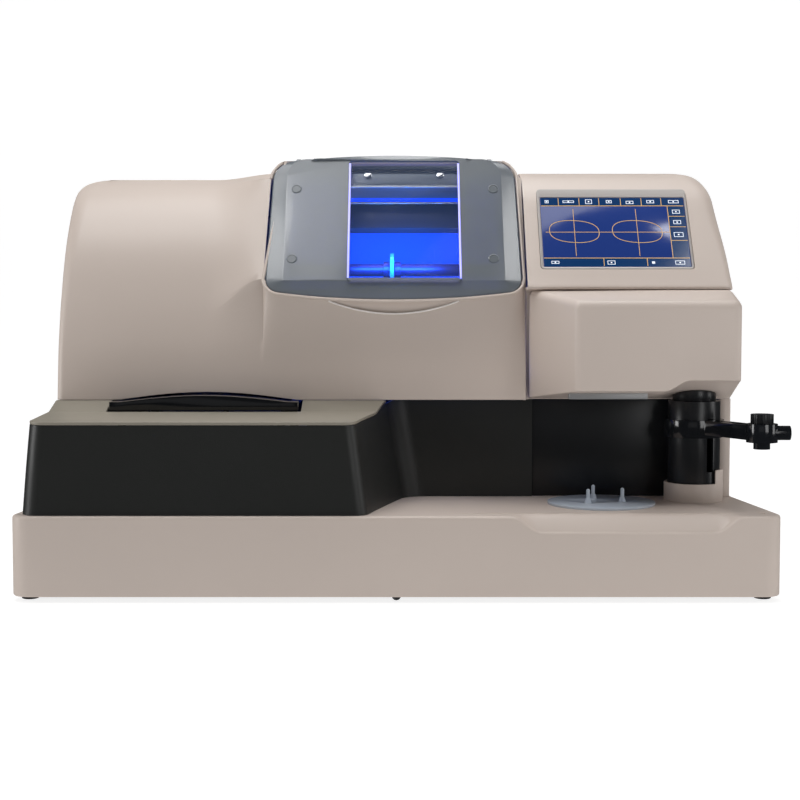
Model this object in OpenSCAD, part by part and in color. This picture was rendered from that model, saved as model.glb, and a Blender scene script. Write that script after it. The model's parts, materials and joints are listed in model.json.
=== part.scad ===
// Bench-top lens finishing unit for an optician's workshop.
// One casing holds a frame tracer on the left, a wet grinding chamber with a clear lid in the
// middle, a touch screen, and a lens centring and blocking station on the right.
// Axes: +X to the right seen from the front, +Y to the rear, +Z up. Millimetres.

/* [Base] */
// Width of the base across its front
base_w = 742; // [736:1:748]
// Depth of the base, front to rear
base_d = 500; // [496:1:504]
// Height of the feet
foot_h = 8; // [7:0.5:9]
// Height of the base's top face above the table
base_top = 83; // [82:0.5:84]
// Radius of the base's front corners
base_corner_r = 18; // [15:1:35]
// Depth of the scoop in the base's front edge
scoop_depth = 19; // [14:1:24]
// Wall thickness of the moulded covers
wall = 3.2; // [2.6:0.1:3.4]

/* [Casing] */
// Left face of the casing, from the middle of the base
body_left = -352; // [-352:1:-350]
// Right face of the casing
body_right = 349.5; // [349:0.5:350]
// Seam between the main cover and the console cover
seam_x = 134; // [133:0.5:135]
// Lower edge of the main cover
body_z0 = 186; // [185.5:0.5:186.5]
// Highest level of the main cover
body_top = 424; // [422:1:430]
// Plane where the front covers meet the rear cover
split_y = 120; // [118:1:125]
// Rear face of the casing
rear_y = 235; // [232:1:238]

/* [Frame tracer] */
// Height of the tracer deck at its front edge
deck_z = 172; // [170:1:173]
// Middle of the tracer bay
tracer_x = -195.5; // [-198:0.5:-193]
// Width of the front jaw
jaw_w = 191; // [185:1:192]

/* [Grinding chamber] */
// Slope of the lid from the horizontal, in degrees
lid_slope = 57.3; // [57:0.1:57.6]
// Width of the lid
lid_w = 266; // [262:1:266]
// Length of the lid along its slope
lid_len = 196; // [192:1:198]
// Width of the clear window in the lid
window_w = 119; // [110:1:122]
// Radius of the lens in the chamber
lens_r = 18; // [14:0.5:20]
// Radius of the grinding wheels
wheel_r = 40; // [36:1:41]

/* [Touch screen] */
// Width of the display's lit area
screen_w = 152.4; // [150:0.1:154]
// Height of the display's lit area
screen_h = 91.4; // [90:0.1:92]

/* [Blocking station] */
// Radius of the lens support disc
disc_r = 54; // [50:1:54]
// Radius of the column's turning sleeve
sleeve_r = 26.5; // [25:0.5:27]
// Reach of the arm, from the column's axis to the block holder's axis
arm_len = 103.4; // [103:0.1:104]
// Direction in which the arm is parked, in degrees from +X
park_angle = -62.4; // [-64:0.1:-60]
// Bore of the block holder
block_bore_r = 4; // [3.5:0.25:5]

/* [Hidden] */
$fn = 48;

beige = [0.82, 0.76, 0.72];
charcoal = [0.13, 0.13, 0.13];
gloss_black = [0.03, 0.04, 0.05];
smoke = [0.62, 0.66, 0.70, 0.55];
clear = [0.75, 0.85, 0.95, 0.4];
steel = [0.72, 0.73, 0.75];
alloy = [0.6, 0.61, 0.63];
rubber = [0.06, 0.06, 0.06];
bronze = [0.7, 0.5, 0.25];
board_green = [0.05, 0.35, 0.18];
screen_blue = [0.1, 0.22, 0.55];
cyan_light = [0.3, 0.8, 1];

gap = 0.3;         // free gap between pieces that pass each other
run = 0.05;        // radial clearance of a running fit
cut = 1;           // how far a cutting shape passes a face

base_front = -base_d / 2;
base_rear = base_d / 2;
flank_y = -98;                 // plane of the charcoal back wall
flank_x = 353;                 // half width of the base behind that plane
front_y = -118;                // lower front edge of the main cover
plate_t = 3;                   // thickness of the chassis plate
plate_top = foot_h + plate_t;

// Lid frame: lower edge of the lid's outer face, with its slope
lid_y = -128;
lid_z = 281;
lid_x = -3;                    // middle of the lid
lid_t = 4;
lid_drop = 5;                  // seat of the lid below its outer face
hinge_y = -12;
hinge_z = 436;
hinge_r = 4;
hood_left = -150;
hood_right = seam_x - 0.2;

// Screen frame: lower edge of the lit area
screen_x = 228.4;
screen_y = -113;
screen_z = 324;
screen_slope = 54.7;

// Grinding chamber axes
shaft_y = -50;
shaft_z = 321;
shaft_r = 6.5;
pad_r = 9;
lens_x = -7;                   // left face of the lens
lens_t = 4;
feed = 16;                     // travel of the carriage
clamp_travel = 18;
wheel_y = -25;
wheel_z = 250;
spindle_r = 8;
motor_y = 70;
motor_z = 130;
rotor_r = 7;
spindle_pulley_r = 18;
motor_pulley_r = 24;
pulley_x = [140, 152];
tub_x = [-118, 112];
upright_t = 6;
guide_x = 141;
guide_y = 85;
guide_r = 6;

// Frame tracer
trace_y = -56;                 // middle between the jaws
jaw_inner = 65;                // from that middle to a jaw's clamping face
jaw_d = 29;
jaw_z = 177;
rod_z = 160;
rod_r = 5;
rod_dx = 80;
rod_y = [-164, 2 * trace_y + 232];
front_carrier_y = [-62, -42];
table_r = 34;
table_z = 118;

// Blocking station
col_x = 306;
col_y = -126;
post_r = 12;
ring_r = 30;
ring_top = 102;
sleeve_top = 185.8;
collar_z = [149, 167];
collar_r = 30;
arm_z = [152.5, 167];
holder_z = [151, 169];
holder_r = 15;
nozzle_z = 144.3;              // lower end of the block holder
knob_r = 11;
knob_pin_r = 3;
block_bore_top = 160;
tip_len = 27;                  // from the holder's axis to the end of its side boss
press = 32;                    // downward travel of the arm
disc_x = 207;
disc_y = -156;
pin_ring_r = 21.3;
bay_y = -94;

arm_tip_x = col_x + arm_len * cos(park_angle) + tip_len;
frame_shift = (arm_tip_x - base_w / 2) / 2;

// ---- Helpers -------------------------------------------------------------------------------

function unit(v) = v / norm(v);
function arc_pts(c, r, a0, a1, n = 8) =
    [for (i = [0:n]) c + r * [cos(a0 + (a1 - a0) * i / n), sin(a0 + (a1 - a0) * i / n)]];
function reversed(p) = [for (i = [len(p) - 1:-1:0]) p[i]];

// Moves every edge of an anticlockwise outline inwards by d
function inset_pts(p, d) = [
    for (i = [0:len(p) - 1])
        let (
            u = unit(p[i] - p[(i + len(p) - 1) % len(p)]),
            v = unit(p[(i + 1) % len(p)] - p[i]),
            m = [-u[1], u[0]],
            n = [-v[1], v[0]]
        )
        p[i] + d * (m + n) / (1 + m * n)
];

// Smooth S between two levels, from x0 to x1
function s_curve(x0, z0, x1, z1, n = 8) =
    [for (i = [0:n]) [x0 + (x1 - x0) * i / n, z0 + (z1 - z0) * (1 - cos(180 * i / n)) / 2]];

// Loop of a belt round two pulleys
function belt_pts(c1, r1, c2, r2) =
    let (d = c2 - c1, t = atan2(d[1], d[0]), b = acos((r1 - r2) / norm(d)))
    concat(arc_pts(c1, r1, t + b, t + 360 - b, 24), arc_pts(c2, r2, t - b, t + b, 24));

module in_frame() {
    translate([-frame_shift, 0, 0]) children();
}

// Prism of a plan outline, from z0 to z1
module rise(z0, z1) {
    translate([0, 0, z0]) linear_extrude(z1 - z0) children();
}

// Prism of a side outline in (y, z), from x0 to x1
module across(x0, x1) {
    translate([x0, 0, 0]) rotate([90, 0, 90]) linear_extrude(x1 - x0) children();
}

// Prism of a front outline in (x, z), from y0 to y1
module back(y0, y1) {
    translate([0, y1, 0]) rotate([90, 0, 0]) linear_extrude(y1 - y0) children();
}

module box(x, y, z) {
    translate([x[0], y[0], z[0]]) cube([x[1] - x[0], y[1] - y[0], z[1] - z[0]]);
}

module bar_x(x, y, z, r) {
    translate([x[0], y, z]) rotate([0, 90, 0]) cylinder(r = r, h = x[1] - x[0]);
}

module bar_y(x, y, z, r) {
    translate([x, y[0], z]) rotate([-90, 0, 0]) cylinder(r = r, h = y[1] - y[0]);
}

module bar_z(x, y, z, r) {
    translate([x, y, z[0]]) cylinder(r = r, h = z[1] - z[0]);
}

module rounded(x, y, r) {
    polygon(concat(
        arc_pts([x[0] + r, y[0] + r], r, 180, 270),
        arc_pts([x[1] - r, y[0] + r], r, 270, 360),
        arc_pts([x[1] - r, y[1] - r], r, 0, 90),
        arc_pts([x[0] + r, y[1] - r], r, 90, 180)
    ));
}

// Local axes of the lid: x along the hinge, y up the slope, z out of the lid
module on_lid() {
    translate([lid_x, lid_y, lid_z]) rotate([lid_slope, 0, 0]) children();
}

// Local axes of the screen: x to the right, y up the slope, z out of the screen
module on_screen() {
    translate([screen_x, screen_y, screen_z]) rotate([screen_slope, 0, 0]) children();
}

module on_arm() {
    translate([col_x, col_y, 0]) rotate([0, 0, park_angle]) children();
}

// ---- Base ----------------------------------------------------------------------------------

base_plan = let (x = base_w / 2, c = x - base_corner_r, y = base_front + base_corner_r) concat(
    arc_pts([-c, y], base_corner_r, 180, 270),
    arc_pts([c, y], base_corner_r, 270, 360),
    [[flank_x, flank_y], [flank_x, base_rear], [-flank_x, base_rear], [-flank_x, flank_y]]
);

scoop_side = [
    [base_front - 10, base_top - scoop_depth - 6],
    [base_front, base_top - scoop_depth],
    [base_front + 28, base_top - 2.5],
    [base_front + 90, base_top + 0.2],
    [base_front + 90, base_top + 12],
    [base_front - 10, base_top + 12]
];
scoop_front = concat(
    s_curve(110, base_top + 0.2, 138, base_top - scoop_depth - 6),
    s_curve(305, base_top - scoop_depth - 6, 331, base_top + 0.2),
    [[331, base_top + 12], [110, base_top + 12]]
);

module scoop(grow) {
    intersection() {
        across(60, base_w / 2) polygon(inset_pts(scoop_side, -grow));
        back(base_front - 20, base_front + 100) polygon(inset_pts(scoop_front, -grow));
    }
}

module base_solid(d) {
    difference() {
        rise(foot_h - d, base_top - d) polygon(inset_pts(base_plan, d));
        scoop(d);
    }
}

module base_shell() color(beige) in_frame() {
    difference() {
        base_solid(0);
        base_solid(wall);
        box([-335, 335], [flank_y + 13, base_rear - 15], [base_top - 10, base_top + cut]);
        bar_z(disc_x, disc_y, [base_top - 30, base_top + cut], disc_r - 5);
        bar_z(col_x, col_y, [base_top - 30, base_top + cut], post_r + gap);
    }
}

stud_r = 3;
stud_y = -236;
stud_top = 26;

module chassis_plate() color(steel) in_frame() {
    difference() {
        union() {
            rise(foot_h, plate_top) polygon(inset_pts(base_plan, wall + gap));
            bar_z(0, stud_y, [plate_top, 20], 7);
        }
        bar_z(0, stud_y, [0, 40], stud_r + run);
        for (x = [-250:50:-50])
            box([x, x + 30], [120, 126], [0, 40]);
    }
}

module corner_feet() color(rubber) in_frame() {
    for (x = [-355, 355], y = [-224, 224])
        translate([x - sign(x) * (y > 0 ? 12 : 0), y, 0]) cylinder(r1 = 8, r2 = 10, h = foot_h);
}

module levelling_foot() color(steel) in_frame() {
    ball_r = 4.5;
    translate([0, stud_y, ball_r]) sphere(r = ball_r);
    bar_z(0, stud_y, [ball_r, stud_top], stud_r);
}

// ---- Machine frame --------------------------------------------------------------------------

upright = [
    [-50, plate_top + 5], [115, plate_top + 5], [115, 215], [66, 240], [66, 388], [-20, 388],
    [-50, 350]
];
left_upright = [
    [101, plate_top + 5], [115, plate_top + 5], [115, 215], [66, 240], [66, 388], [-20, 388],
    [-50, 350], [-50, 205], [101, 205]
];

module shaft_slot(x, r) {
    bar_x(x, shaft_y, shaft_z, r);
    bar_x(x, shaft_y, shaft_z - feed, r);
    box(x, [shaft_y - r + 0.2, shaft_y + r - 0.2], [shaft_z - feed, shaft_z]);
}

module machine_frame() color(alloy) in_frame() {
    outer_x = guide_x + 15;
    difference() {
        union() {
            box([-outer_x, outer_x + 6], [-60, 115], [plate_top, plate_top + 5]);
            across(tub_x[0] - 3 - upright_t, tub_x[0] - 3) polygon(left_upright);
            across(tub_x[1] + 3, tub_x[1] + 3 + upright_t) polygon(upright);
            box([-outer_x, outer_x], [64, 100], [386, 394]);
            for (x = [-guide_x, guide_x])
                bar_z(x, guide_y, [226, 388], guide_r);
            for (x = [[-outer_x, tub_x[0] - 3], [tub_x[1] + 3, outer_x]])
                box(x, [66, 100], [220, 226]);
            box([outer_x, outer_x + 6], [-50, 0], [plate_top + 5, 275]);
        }
        shaft_slot([-200, 135], pad_r + 2);
        bar_x([100, 135], wheel_y, wheel_z, 16);
        bar_x([135, 200], wheel_y, wheel_z, 16);
        bar_x([100, 135], motor_y, motor_z, rotor_r + 1);
    }
}

module lower_skirt() color(charcoal) in_frame() {
    difference() {
        union() {
            box([body_left, body_left + wall], [flank_y + wall, rear_y], [base_top, body_z0]);
            box([body_left, body_right], [rear_y - wall, rear_y], [base_top, body_z0]);
            box([body_right - wall, body_right], [split_y, rear_y], [base_top, body_z0]);
        }
        box([148, 176], [200, 250], [108, 128]);
        box([186, 207], [200, 250], [108, 121]);
        for (x = spigot_xs)
            bar_y(x, [200, 250], spigot_z, spigot_r);
    }
}

// ---- Frame tracer ---------------------------------------------------------------------------

housing_edge = concat(
    [[body_left, flank_y]],
    arc_pts([-342, -228], 18, 180, 270),
    arc_pts([-40.4, -232], 14, 270, 345),
    reversed(arc_pts([30, -124], 26, 90, 165))
);
housing_plan = concat(
    housing_edge,
    [[seam_x + 8, flank_y], [seam_x + 8, flank_y + wall]],
    [[body_left, flank_y + wall]]
);
deck_rise = [[-150, deck_z + 4], [-119.5, body_z0 - 0.6]];
housing_front = [[-246, base_top], [-238, deck_z - wall]];
housing_draft = housing_front[1] - housing_front[0];
housing_side = [
    housing_front[0], [-80, base_top], [-80, body_z0 - 0.2], [-112, body_z0 - 0.2],
    deck_rise[1] - [0, wall], deck_rise[0] - [0, wall], housing_front[1]
];
housing_hollow = [
    housing_front[0] - housing_draft, [-60, base_top - 60], [-60, body_z0 + 60],
    housing_front[1] + housing_draft
];
bay_x = [tracer_x - jaw_w / 2 - 3, tracer_x + jaw_w / 2 + 3];

module tracer_housing() color(charcoal) in_frame() {
    difference() {
        intersection() {
            rise(base_top, body_z0 - 0.2) polygon(housing_plan);
            across(-400, 200) polygon(housing_side);
        }
        intersection() {
            rise(base_top - cut, body_z0 + cut) polygon(inset_pts(housing_edge, wall));
            across(-400, 200) polygon(inset_pts(housing_hollow, wall));
        }
        box([body_left + wall, -4], [-140, 0], [base_top - cut, body_z0 + cut]);
    }
}

module tracer_deck() color(beige) in_frame() {
    deck_side = [
        [-238, deck_z - wall], deck_rise[0] - [0, wall], deck_rise[1] - [0, wall], deck_rise[1],
        deck_rise[0], [-237.6, deck_z]
    ];
    difference() {
        intersection() {
            rise(150, body_z0) polygon(housing_plan);
            across(-400, 5) polygon(deck_side);
        }
        box(bay_x, [-152, -100], [150, 200]);
    }
}

module tracer_frame() color(alloy) in_frame() {
    x = [tracer_x - 97, tracer_x + 88];
    difference() {
        union() {
            box(x, [rod_y[0], rod_y[1]], [base_top, base_top + 4]);
            box(x, [rod_y[0], rod_y[0] + 5], [base_top + 4, rod_z + 8]);
            box(x, [rod_y[1] - 4, rod_y[1]], [base_top + 4, rod_z + 12]);
            for (dx = [-97, 72])
                box([tracer_x + dx, tracer_x + dx + 14], [rod_y[1] - 4, rod_y[1]],
                    [plate_top, base_top]);
        }
        for (dx = [-rod_dx, rod_dx])
            bar_y(tracer_x + dx, [-200, 200], rod_z, rod_r);
        box([tub_x[0] - 10, tub_x[0] - 2], [98, rod_y[1] - 4], [base_top - 10, 200]);
    }
}

module jaw_rods() color(steel) in_frame() {
    for (dx = [-rod_dx, rod_dx])
        bar_y(tracer_x + dx, [rod_y[0] - 2, rod_y[1] + 2], rod_z, rod_r);
}

module jaw_carriers(y) {
    difference() {
        for (dx = [-rod_dx, rod_dx])
            box([tracer_x + dx - 9, tracer_x + dx + 9], y, [rod_z - 10, jaw_z]);
        for (dx = [-rod_dx, rod_dx])
            bar_y(tracer_x + dx, [-200, 200], rod_z, rod_r + run);
    }
}

module front_jaw() color(gloss_black) in_frame() {
    y = [trace_y - jaw_inner - jaw_d, trace_y - jaw_inner];
    crown = concat(
        [[tracer_x - jaw_w / 2, jaw_z], [tracer_x + jaw_w / 2, jaw_z]],
        [[tracer_x + jaw_w / 2, jaw_z + 8.5]],
        [for (i = [0:16]) [tracer_x + 85 - 170 * i / 16, jaw_z + 8.5 + 6.5 * sin(180 * i / 16)]],
        [[tracer_x - jaw_w / 2, jaw_z + 8.5]]
    );
    back(y[0], y[1]) polygon(crown);
    for (x = [tracer_x - jaw_w / 2, tracer_x + jaw_w / 2 - 11.5])
        box([x, x + 11.5], [y[1], front_carrier_y[1]], [jaw_z, jaw_z + 6]);
    for (dx = [-rod_dx, rod_dx])
        box([tracer_x + dx - 9, tracer_x + dx + 9], front_carrier_y, [jaw_z, jaw_z + 6]);
    jaw_carriers(front_carrier_y);
}

module rear_jaw() color(gloss_black) in_frame() {
    y = [trace_y + jaw_inner, trace_y + jaw_inner + jaw_d];
    box([tracer_x - rod_dx - 9, tracer_x + rod_dx + 9], y, [jaw_z, jaw_z + 8]);
    jaw_carriers(y);
}

module tracer_motor() color(alloy) in_frame() {
    difference() {
        bar_z(tracer_x, trace_y, [base_top + 4, table_z - 6], 20);
        bar_z(tracer_x, trace_y, [base_top + 10, table_z], 4 + run);
    }
}

module tracer_turntable() color(steel) in_frame() {
    bar_z(tracer_x, trace_y, [table_z - 20, table_z], 4);
    bar_z(tracer_x, trace_y, [table_z, table_z + 6], table_r);
    for (dy = [-11, 8])
        box([tracer_x - 28, tracer_x + 28], [trace_y + dy, trace_y + dy + 3],
            [table_z + 6, table_z + 16]);
}

stylus_dx = 12;

module stylus_slider() color(alloy) in_frame() {
    difference() {
        box([tracer_x - 14, tracer_x + 20], [trace_y - 7.7, trace_y + 7.7],
            [table_z + 6.3, table_z + 26]);
        bar_z(tracer_x + stylus_dx, trace_y, [table_z + 10, table_z + 40], 3 + run);
    }
}

module stylus() color(gloss_black) in_frame() {
    bar_z(tracer_x + stylus_dx, trace_y, [table_z + 21, table_z + 56], 3);
    translate([tracer_x + stylus_dx, trace_y, table_z + 56]) cylinder(r1 = 5, r2 = 2, h = 3);
}

// ---- Covers ---------------------------------------------------------------------------------

// Front of the main cover, from its lower edge up to the flat top
body_front = [
    [-110, 240], [-97, 289], [-82, 330], [-64, 362], [-36, 394], [0, 414], [35, body_top]
];
function body_side(z0, y1) = concat(
    [[front_y + (z0 - body_z0) * 8 / 54, z0], [y1, z0], [y1, body_top]],
    reversed(body_front)
);

module jaw_arch() {
    back(-130, -60) polygon(concat(
        [[tracer_x + 92, body_z0 - cut]],
        [for (i = [0:16]) [tracer_x + 90 - 180 * i / 16, body_z0 + 1.5 + 7 * sin(180 * i / 16)]],
        [[tracer_x - 92, body_z0 - cut]]
    ));
}

module main_cover() color(beige) in_frame() {
    difference() {
        across(body_left, seam_x) polygon(body_side(body_z0, split_y));
        across(body_left + wall, seam_x + cut) polygon(inset_pts(body_side(150, 160), wall));
        on_lid() rise(-80, 60) rounded([-143, 133], [0, 205], 12);
        jaw_arch();
    }
}

hood_side = [
    [-106, 258], [75, 300], [75, body_top - 2], [9, 446], [-16.2, 445.7], [-127, 273.3]
];

mouth_x = [-123, 123];         // opening under the lid, in the lid frame
mouth_y = [25, 187];

module hinge_trough() {
    bar_x([lid_x - lid_w / 2 - 1, lid_x + lid_w / 2 + 1], hinge_y, hinge_z, 18);
}

module hood_frame() color(beige) in_frame() {
    difference() {
        across(hood_left, hood_right) polygon(hood_side);
        across(hood_left + wall, hood_right - wall) polygon(inset_pts(hood_side, wall));
        across(hood_left - cut, hood_right + cut) polygon(body_side(150, 160));
        on_lid() rise(-40, 60) rounded(mouth_x, mouth_y, 12);
        hinge_trough();
        bar_x([-200, 200], hinge_y, hinge_z, hinge_r);
    }
}

module hinge_pins() color(steel) in_frame() {
    bar_x([hood_left, lid_x - 105], hinge_y, hinge_z, hinge_r);
    bar_x([lid_x + 105, hood_right], hinge_y, hinge_z, hinge_r);
}

rear_side = concat(
    [[split_y, body_z0], [rear_y, body_z0]],
    arc_pts([rear_y - 50, body_top - 50], 50, 0, 90),
    [[split_y, body_top]]
);

module rear_cover() color(beige) in_frame() {
    inner_side = concat(
        [[split_y - 20, body_z0 - 20], [rear_y - wall, body_z0 - 20]],
        arc_pts([rear_y - 50, body_top - 50], 50 - wall, 0, 90),
        [[split_y - 20, body_top - wall]]
    );
    difference() {
        across(body_left, body_right) polygon(rear_side);
        across(body_left + wall, body_right - wall) polygon(inner_side);
        for (z = [fan_z - 44:11:fan_z + 44])
            box([fan_x - sqrt(2600 - pow(z - fan_z, 2)), fan_x + sqrt(2600 - pow(z - fan_z, 2))],
                [200, 250], [z - 2.5, z + 2.5]);
        for (x = [-300:24:-180])
            box([x, x + 8], [200, 250], [220, 300]);
        for (p = screw_places)
            bar_y(p[0], [200, 250], p[1], 2.2);
    }
}

console_top = 428;
console_side = [
    [-105, body_z0], [split_y, body_z0], [split_y, console_top], [0, console_top],
    [-24, 422], [-48, 408], [-62, 396.1], [-128.5, 302.2], [-128, 300.3], [-105, 298]
];

module console_cover() color(beige) in_frame() {
    side_in = [
        [-105 + wall, 150], [160, 150], [160, console_top - wall], [0, console_top - wall],
        [-24 + 1, 422 - wall], [-48 + 2, 408 - wall], [-60.5, 393], [-122, 306], [-105 + wall, 304]
    ];
    difference() {
        union() {
            across(seam_x, body_right) polygon(console_side);
            box([body_right - wall, body_right], [-105, split_y], [base_top, body_z0]);
            box([336, body_right], [-105, -105 + wall], [base_top, body_z0]);
        }
        across(seam_x - cut, body_right - wall) polygon(side_in);
        box([100, 335.9], [-120, -90], [100, body_z0 + cut]);
        on_screen() rise(-1.8, 10)
            rounded([-screen_w / 2 - 4, screen_w / 2 + 4], [-4, screen_h + 10], 3);
        on_screen() rise(-20, 10)
            rounded([-screen_w / 2 - 2, screen_w / 2 + 2], [-2, screen_h + 6], 2);
    }
}

head_plan = concat(
    [[seam_x + 2, -105], [seam_x + 2, -117]],
    arc_pts([181, -192], 8, 205, 270, 4),
    arc_pts([329, -190], 10, 270, 350, 4),
    [[348.5, -105]]
);
head_side = [
    [-200, 199.4], [-105, body_z0 + 0.5], [-105, 297.7], [-127.4, 299.7], [-190, 289],
    [-197, 286], [-200, 280]
];
head_step_side = [[-215, 170], [-105, 170], [-105, body_z0 + 0.5], [-200, 210], [-215, 213.6]];
head_step_front = concat(
    [[263, 170], [380, 170], [380, 216]],
    reversed(s_curve(263, 186, 288, 216))
);

module head_step(grow) {
    intersection() {
        across(240, 380) polygon(inset_pts(head_step_side, -grow));
        back(-220, -90) polygon(inset_pts(head_step_front, -grow));
    }
}

module head_solid(d) {
    difference() {
        intersection() {
            rise(150, 310) polygon(inset_pts(head_plan, d));
            across(100, 380) polygon(inset_pts(head_side, d));
        }
        head_step(d);
    }
}

module head_cover() color(beige) in_frame() {
    difference() {
        head_solid(0);
        head_solid(wall);
        bar_z(disc_x, disc_y, [170, 210], 12);
        box([170, 330], [-105 - wall - cut, -100], [210, 280]);
    }
}

module bay_panel() color(gloss_black) in_frame() {
    box([seam_x + 8, 335.8], [bay_y, bay_y + 3], [base_top, body_z0 - 0.2]);
}

// ---- Blocking station -----------------------------------------------------------------------

module head_light_bar() color(alloy) in_frame() {
    difference() {
        box([172, 250], [-176, -160], [190, 202]);
        head_solid(0);
        bar_z(disc_x, disc_y, [180, 210], 13);
    }
}

module centring_camera() color(gloss_black) in_frame() {
    bar_z(disc_x, disc_y, [196, 206], 11);
    bar_z(disc_x, disc_y, [206, 226], 16);
    box([disc_x - 19, disc_x + 19], [disc_y - 19, disc_y + 19], [226, 250]);
}

module column_ring() color(beige) in_frame() {
    difference() {
        union() {
            bar_z(col_x, col_y, [base_top, ring_top], ring_r);
            intersection() {
                bar_z(col_x, col_y, [base_top, ring_top + 14], ring_r);
                translate([col_x, col_y, 0]) rotate([0, 0, -35])
                    box([sleeve_r + 1, ring_r], [-9, 9], [base_top, ring_top + 14]);
            }
        }
        bar_z(col_x, col_y, [base_top - cut, 140], sleeve_r + 0.6);
    }
}

module column_post() color(steel) in_frame() {
    difference() {
        union() {
            bar_z(col_x, col_y, [plate_top, sleeve_top + 0.3], post_r);
            bar_z(col_x, col_y, [sleeve_top + 0.3, 200], 22);
        }
        head_solid(0);
        box([250, 350], [-105, -60], [150, 300]);
    }
}

module column_sleeve() color(gloss_black) in_frame() {
    difference() {
        bar_z(col_x, col_y, [base_top + 0.3, sleeve_top], sleeve_r);
        bar_z(col_x, col_y, [base_top + 12, sleeve_top - 10], sleeve_r - 3);
        bar_z(col_x, col_y, [base_top, sleeve_top + cut], post_r + run);
        on_arm() box([0, 40], [-4, 4], [collar_z[0] - press - 3, collar_z[1] + 1]);
    }
}

module swing_arm() color(gloss_black) in_frame() on_arm() {
    difference() {
        union() {
            bar_z(0, 0, collar_z, collar_r);
            for (y = [-9, 4])
                box([collar_r - 8, arm_len - 8], [y, y + 5], arm_z);
            box([62, arm_len - 8], [-9, 9], [arm_z[0], arm_z[1] - 3]);
            bar_z(arm_len, 0, holder_z, holder_r);
            bar_z(arm_len, 0, [nozzle_z, holder_z[0]], 8);
            translate([arm_len, 0, 0]) rotate([0, 0, -park_angle])
                bar_x([5, tip_len], 0, 160, 7);
        }
        bar_z(0, 0, [100, 200], sleeve_r + run);
        bar_z(arm_len, 0, [100, block_bore_top], block_bore_r);
        bar_z(arm_len, 0, [block_bore_top + 3, holder_z[1] + cut], knob_pin_r + run);
    }
    box([sleeve_r - 4, sleeve_r + 2], [-3.7, 3.7], collar_z);
}

module holder_knob() color(gloss_black) in_frame() on_arm() translate([arm_len, 0, 0]) {
    ribs = 24;
    difference() {
        bar_z(0, 0, [holder_z[1] + gap, 178.3], knob_r);
        for (i = [0:ribs - 1])
            rotate([0, 0, i * 360 / ribs]) box([knob_r - 0.7, knob_r + 2], [-0.6, 0.6], [160, 200]);
    }
    bar_z(0, 0, [block_bore_top + 3.2, holder_z[1] + 2], knob_pin_r);
}

module lens_disc() color(clear) in_frame() {
    bar_z(disc_x, disc_y, [base_top, base_top + 2.5], disc_r);
    for (a = [105, 225, 345])
        translate([disc_x + pin_ring_r * cos(a), disc_y + pin_ring_r * sin(a), base_top + 2.5]) {
            cylinder(r1 = 4, r2 = 2.4, h = 5);
            cylinder(r = 1.9, h = 12.5);
            translate([0, 0, 12.5]) sphere(r = 1.9);
        }
}

module disc_lamp() color(cyan_light) in_frame() {
    bar_z(disc_x, disc_y, [base_top - 14, base_top - 8], disc_r - 8);
}

// ---- Touch screen ---------------------------------------------------------------------------

module touch_glass() color(gloss_black) in_frame() on_screen() {
    rise(-1.8, -0.6) rounded([-screen_w / 2 - 3.8, screen_w / 2 + 3.8], [-3.8, screen_h + 9.8], 3);
}

module lcd_panel() color(screen_blue) in_frame() on_screen() {
    rise(-7.5, -1.8) rounded([-screen_w / 2 - 1.8, screen_w / 2 + 1.8], [-1.8, screen_h + 5.8], 2);
}

module control_board() color(board_green) in_frame() {
    box([162, 330], [40, 41.6], [215, 385]);
    box([180, 215], [36, 40], [300, 335]);
    box([250, 300], [30, 40], [240, 262]);
    for (x = [185:20:305])
        bar_y(x, [30, 40], 360, 5);
}

module power_supply() color(alloy) in_frame() {
    box([-330, -180], [126, 222], [plate_top, 72]);
    box([-300, -210], [140, 205], [72, 76]);
}

// ---- Grinding chamber -----------------------------------------------------------------------

tub_side = [
    [-92, 200], [55, 196], [62, 405], [0, 418], [-23.8, 424], [-113.5, 286], [-100, 272],
    [-96, 262]
];

// Header bar under the top of the lid, in the lid frame
header_x = [-56, 78];
header_y = [160, 187];
header_z = [-10.1, -6.2];
header_screw_x = [-28, 50];
header_screw_y = 173;

module chamber_tub() color(alloy) in_frame() {
    skin = 2.5;
    difference() {
        across(tub_x[0], tub_x[1]) polygon(tub_side);
        across(tub_x[0] + skin, tub_x[1] - skin) polygon(inset_pts(tub_side, skin));
        on_lid() box([tub_x[0] - lid_x + 2 * skin, tub_x[1] - lid_x - 2 * skin],
            [mouth_y[0], header_y[0] + 5], [-25, 0]);
        box([-140, 140], [shaft_y - pad_r - 2, shaft_y + pad_r + 2],
            [shaft_z - feed - pad_r - 2, shaft_z + pad_r + 2]);
        bar_x([100, 140], wheel_y, wheel_z, spindle_r + 3);
        box([60 - 8, 60 + 8], [40, 80], [222, 238]);
    }
}

module chamber_header() color(steel) in_frame() on_lid() {
    difference() {
        box(header_x, header_y, header_z);
        for (x = header_screw_x)
            bar_z(x, header_screw_y, [header_z[0] - cut, header_z[1] + cut], 2.5);
    }
}

module chamber_led_strip() color(cyan_light) in_frame() {
    box([-62, 62], [-86, -80], [268, 274]);
}

module water_jets() color(steel) in_frame() {
    for (x = [-40, 20])
        bar_y(x, [30, 54], 300, 3);
    box([-60, 40], [49, 55], [292, 308]);
    bar_y(60, [50, 75], 230, 7);
}

module lid_seal() color(rubber) in_frame() on_lid() {
    difference() {
        rise(-lid_drop, -lid_t - 0.1) rounded([-127, 127], [21, 180], 14);
        rise(-lid_drop - 1, -lid_t + 1) rounded([-123.5, 123.5], [24.5, 177.5], 12);
    }
}

// Window in the lid, in the lid frame
window_mid = 11;
window_x = [window_mid - window_w / 2, window_mid + window_w / 2];
window_y = [29, 186];

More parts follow.
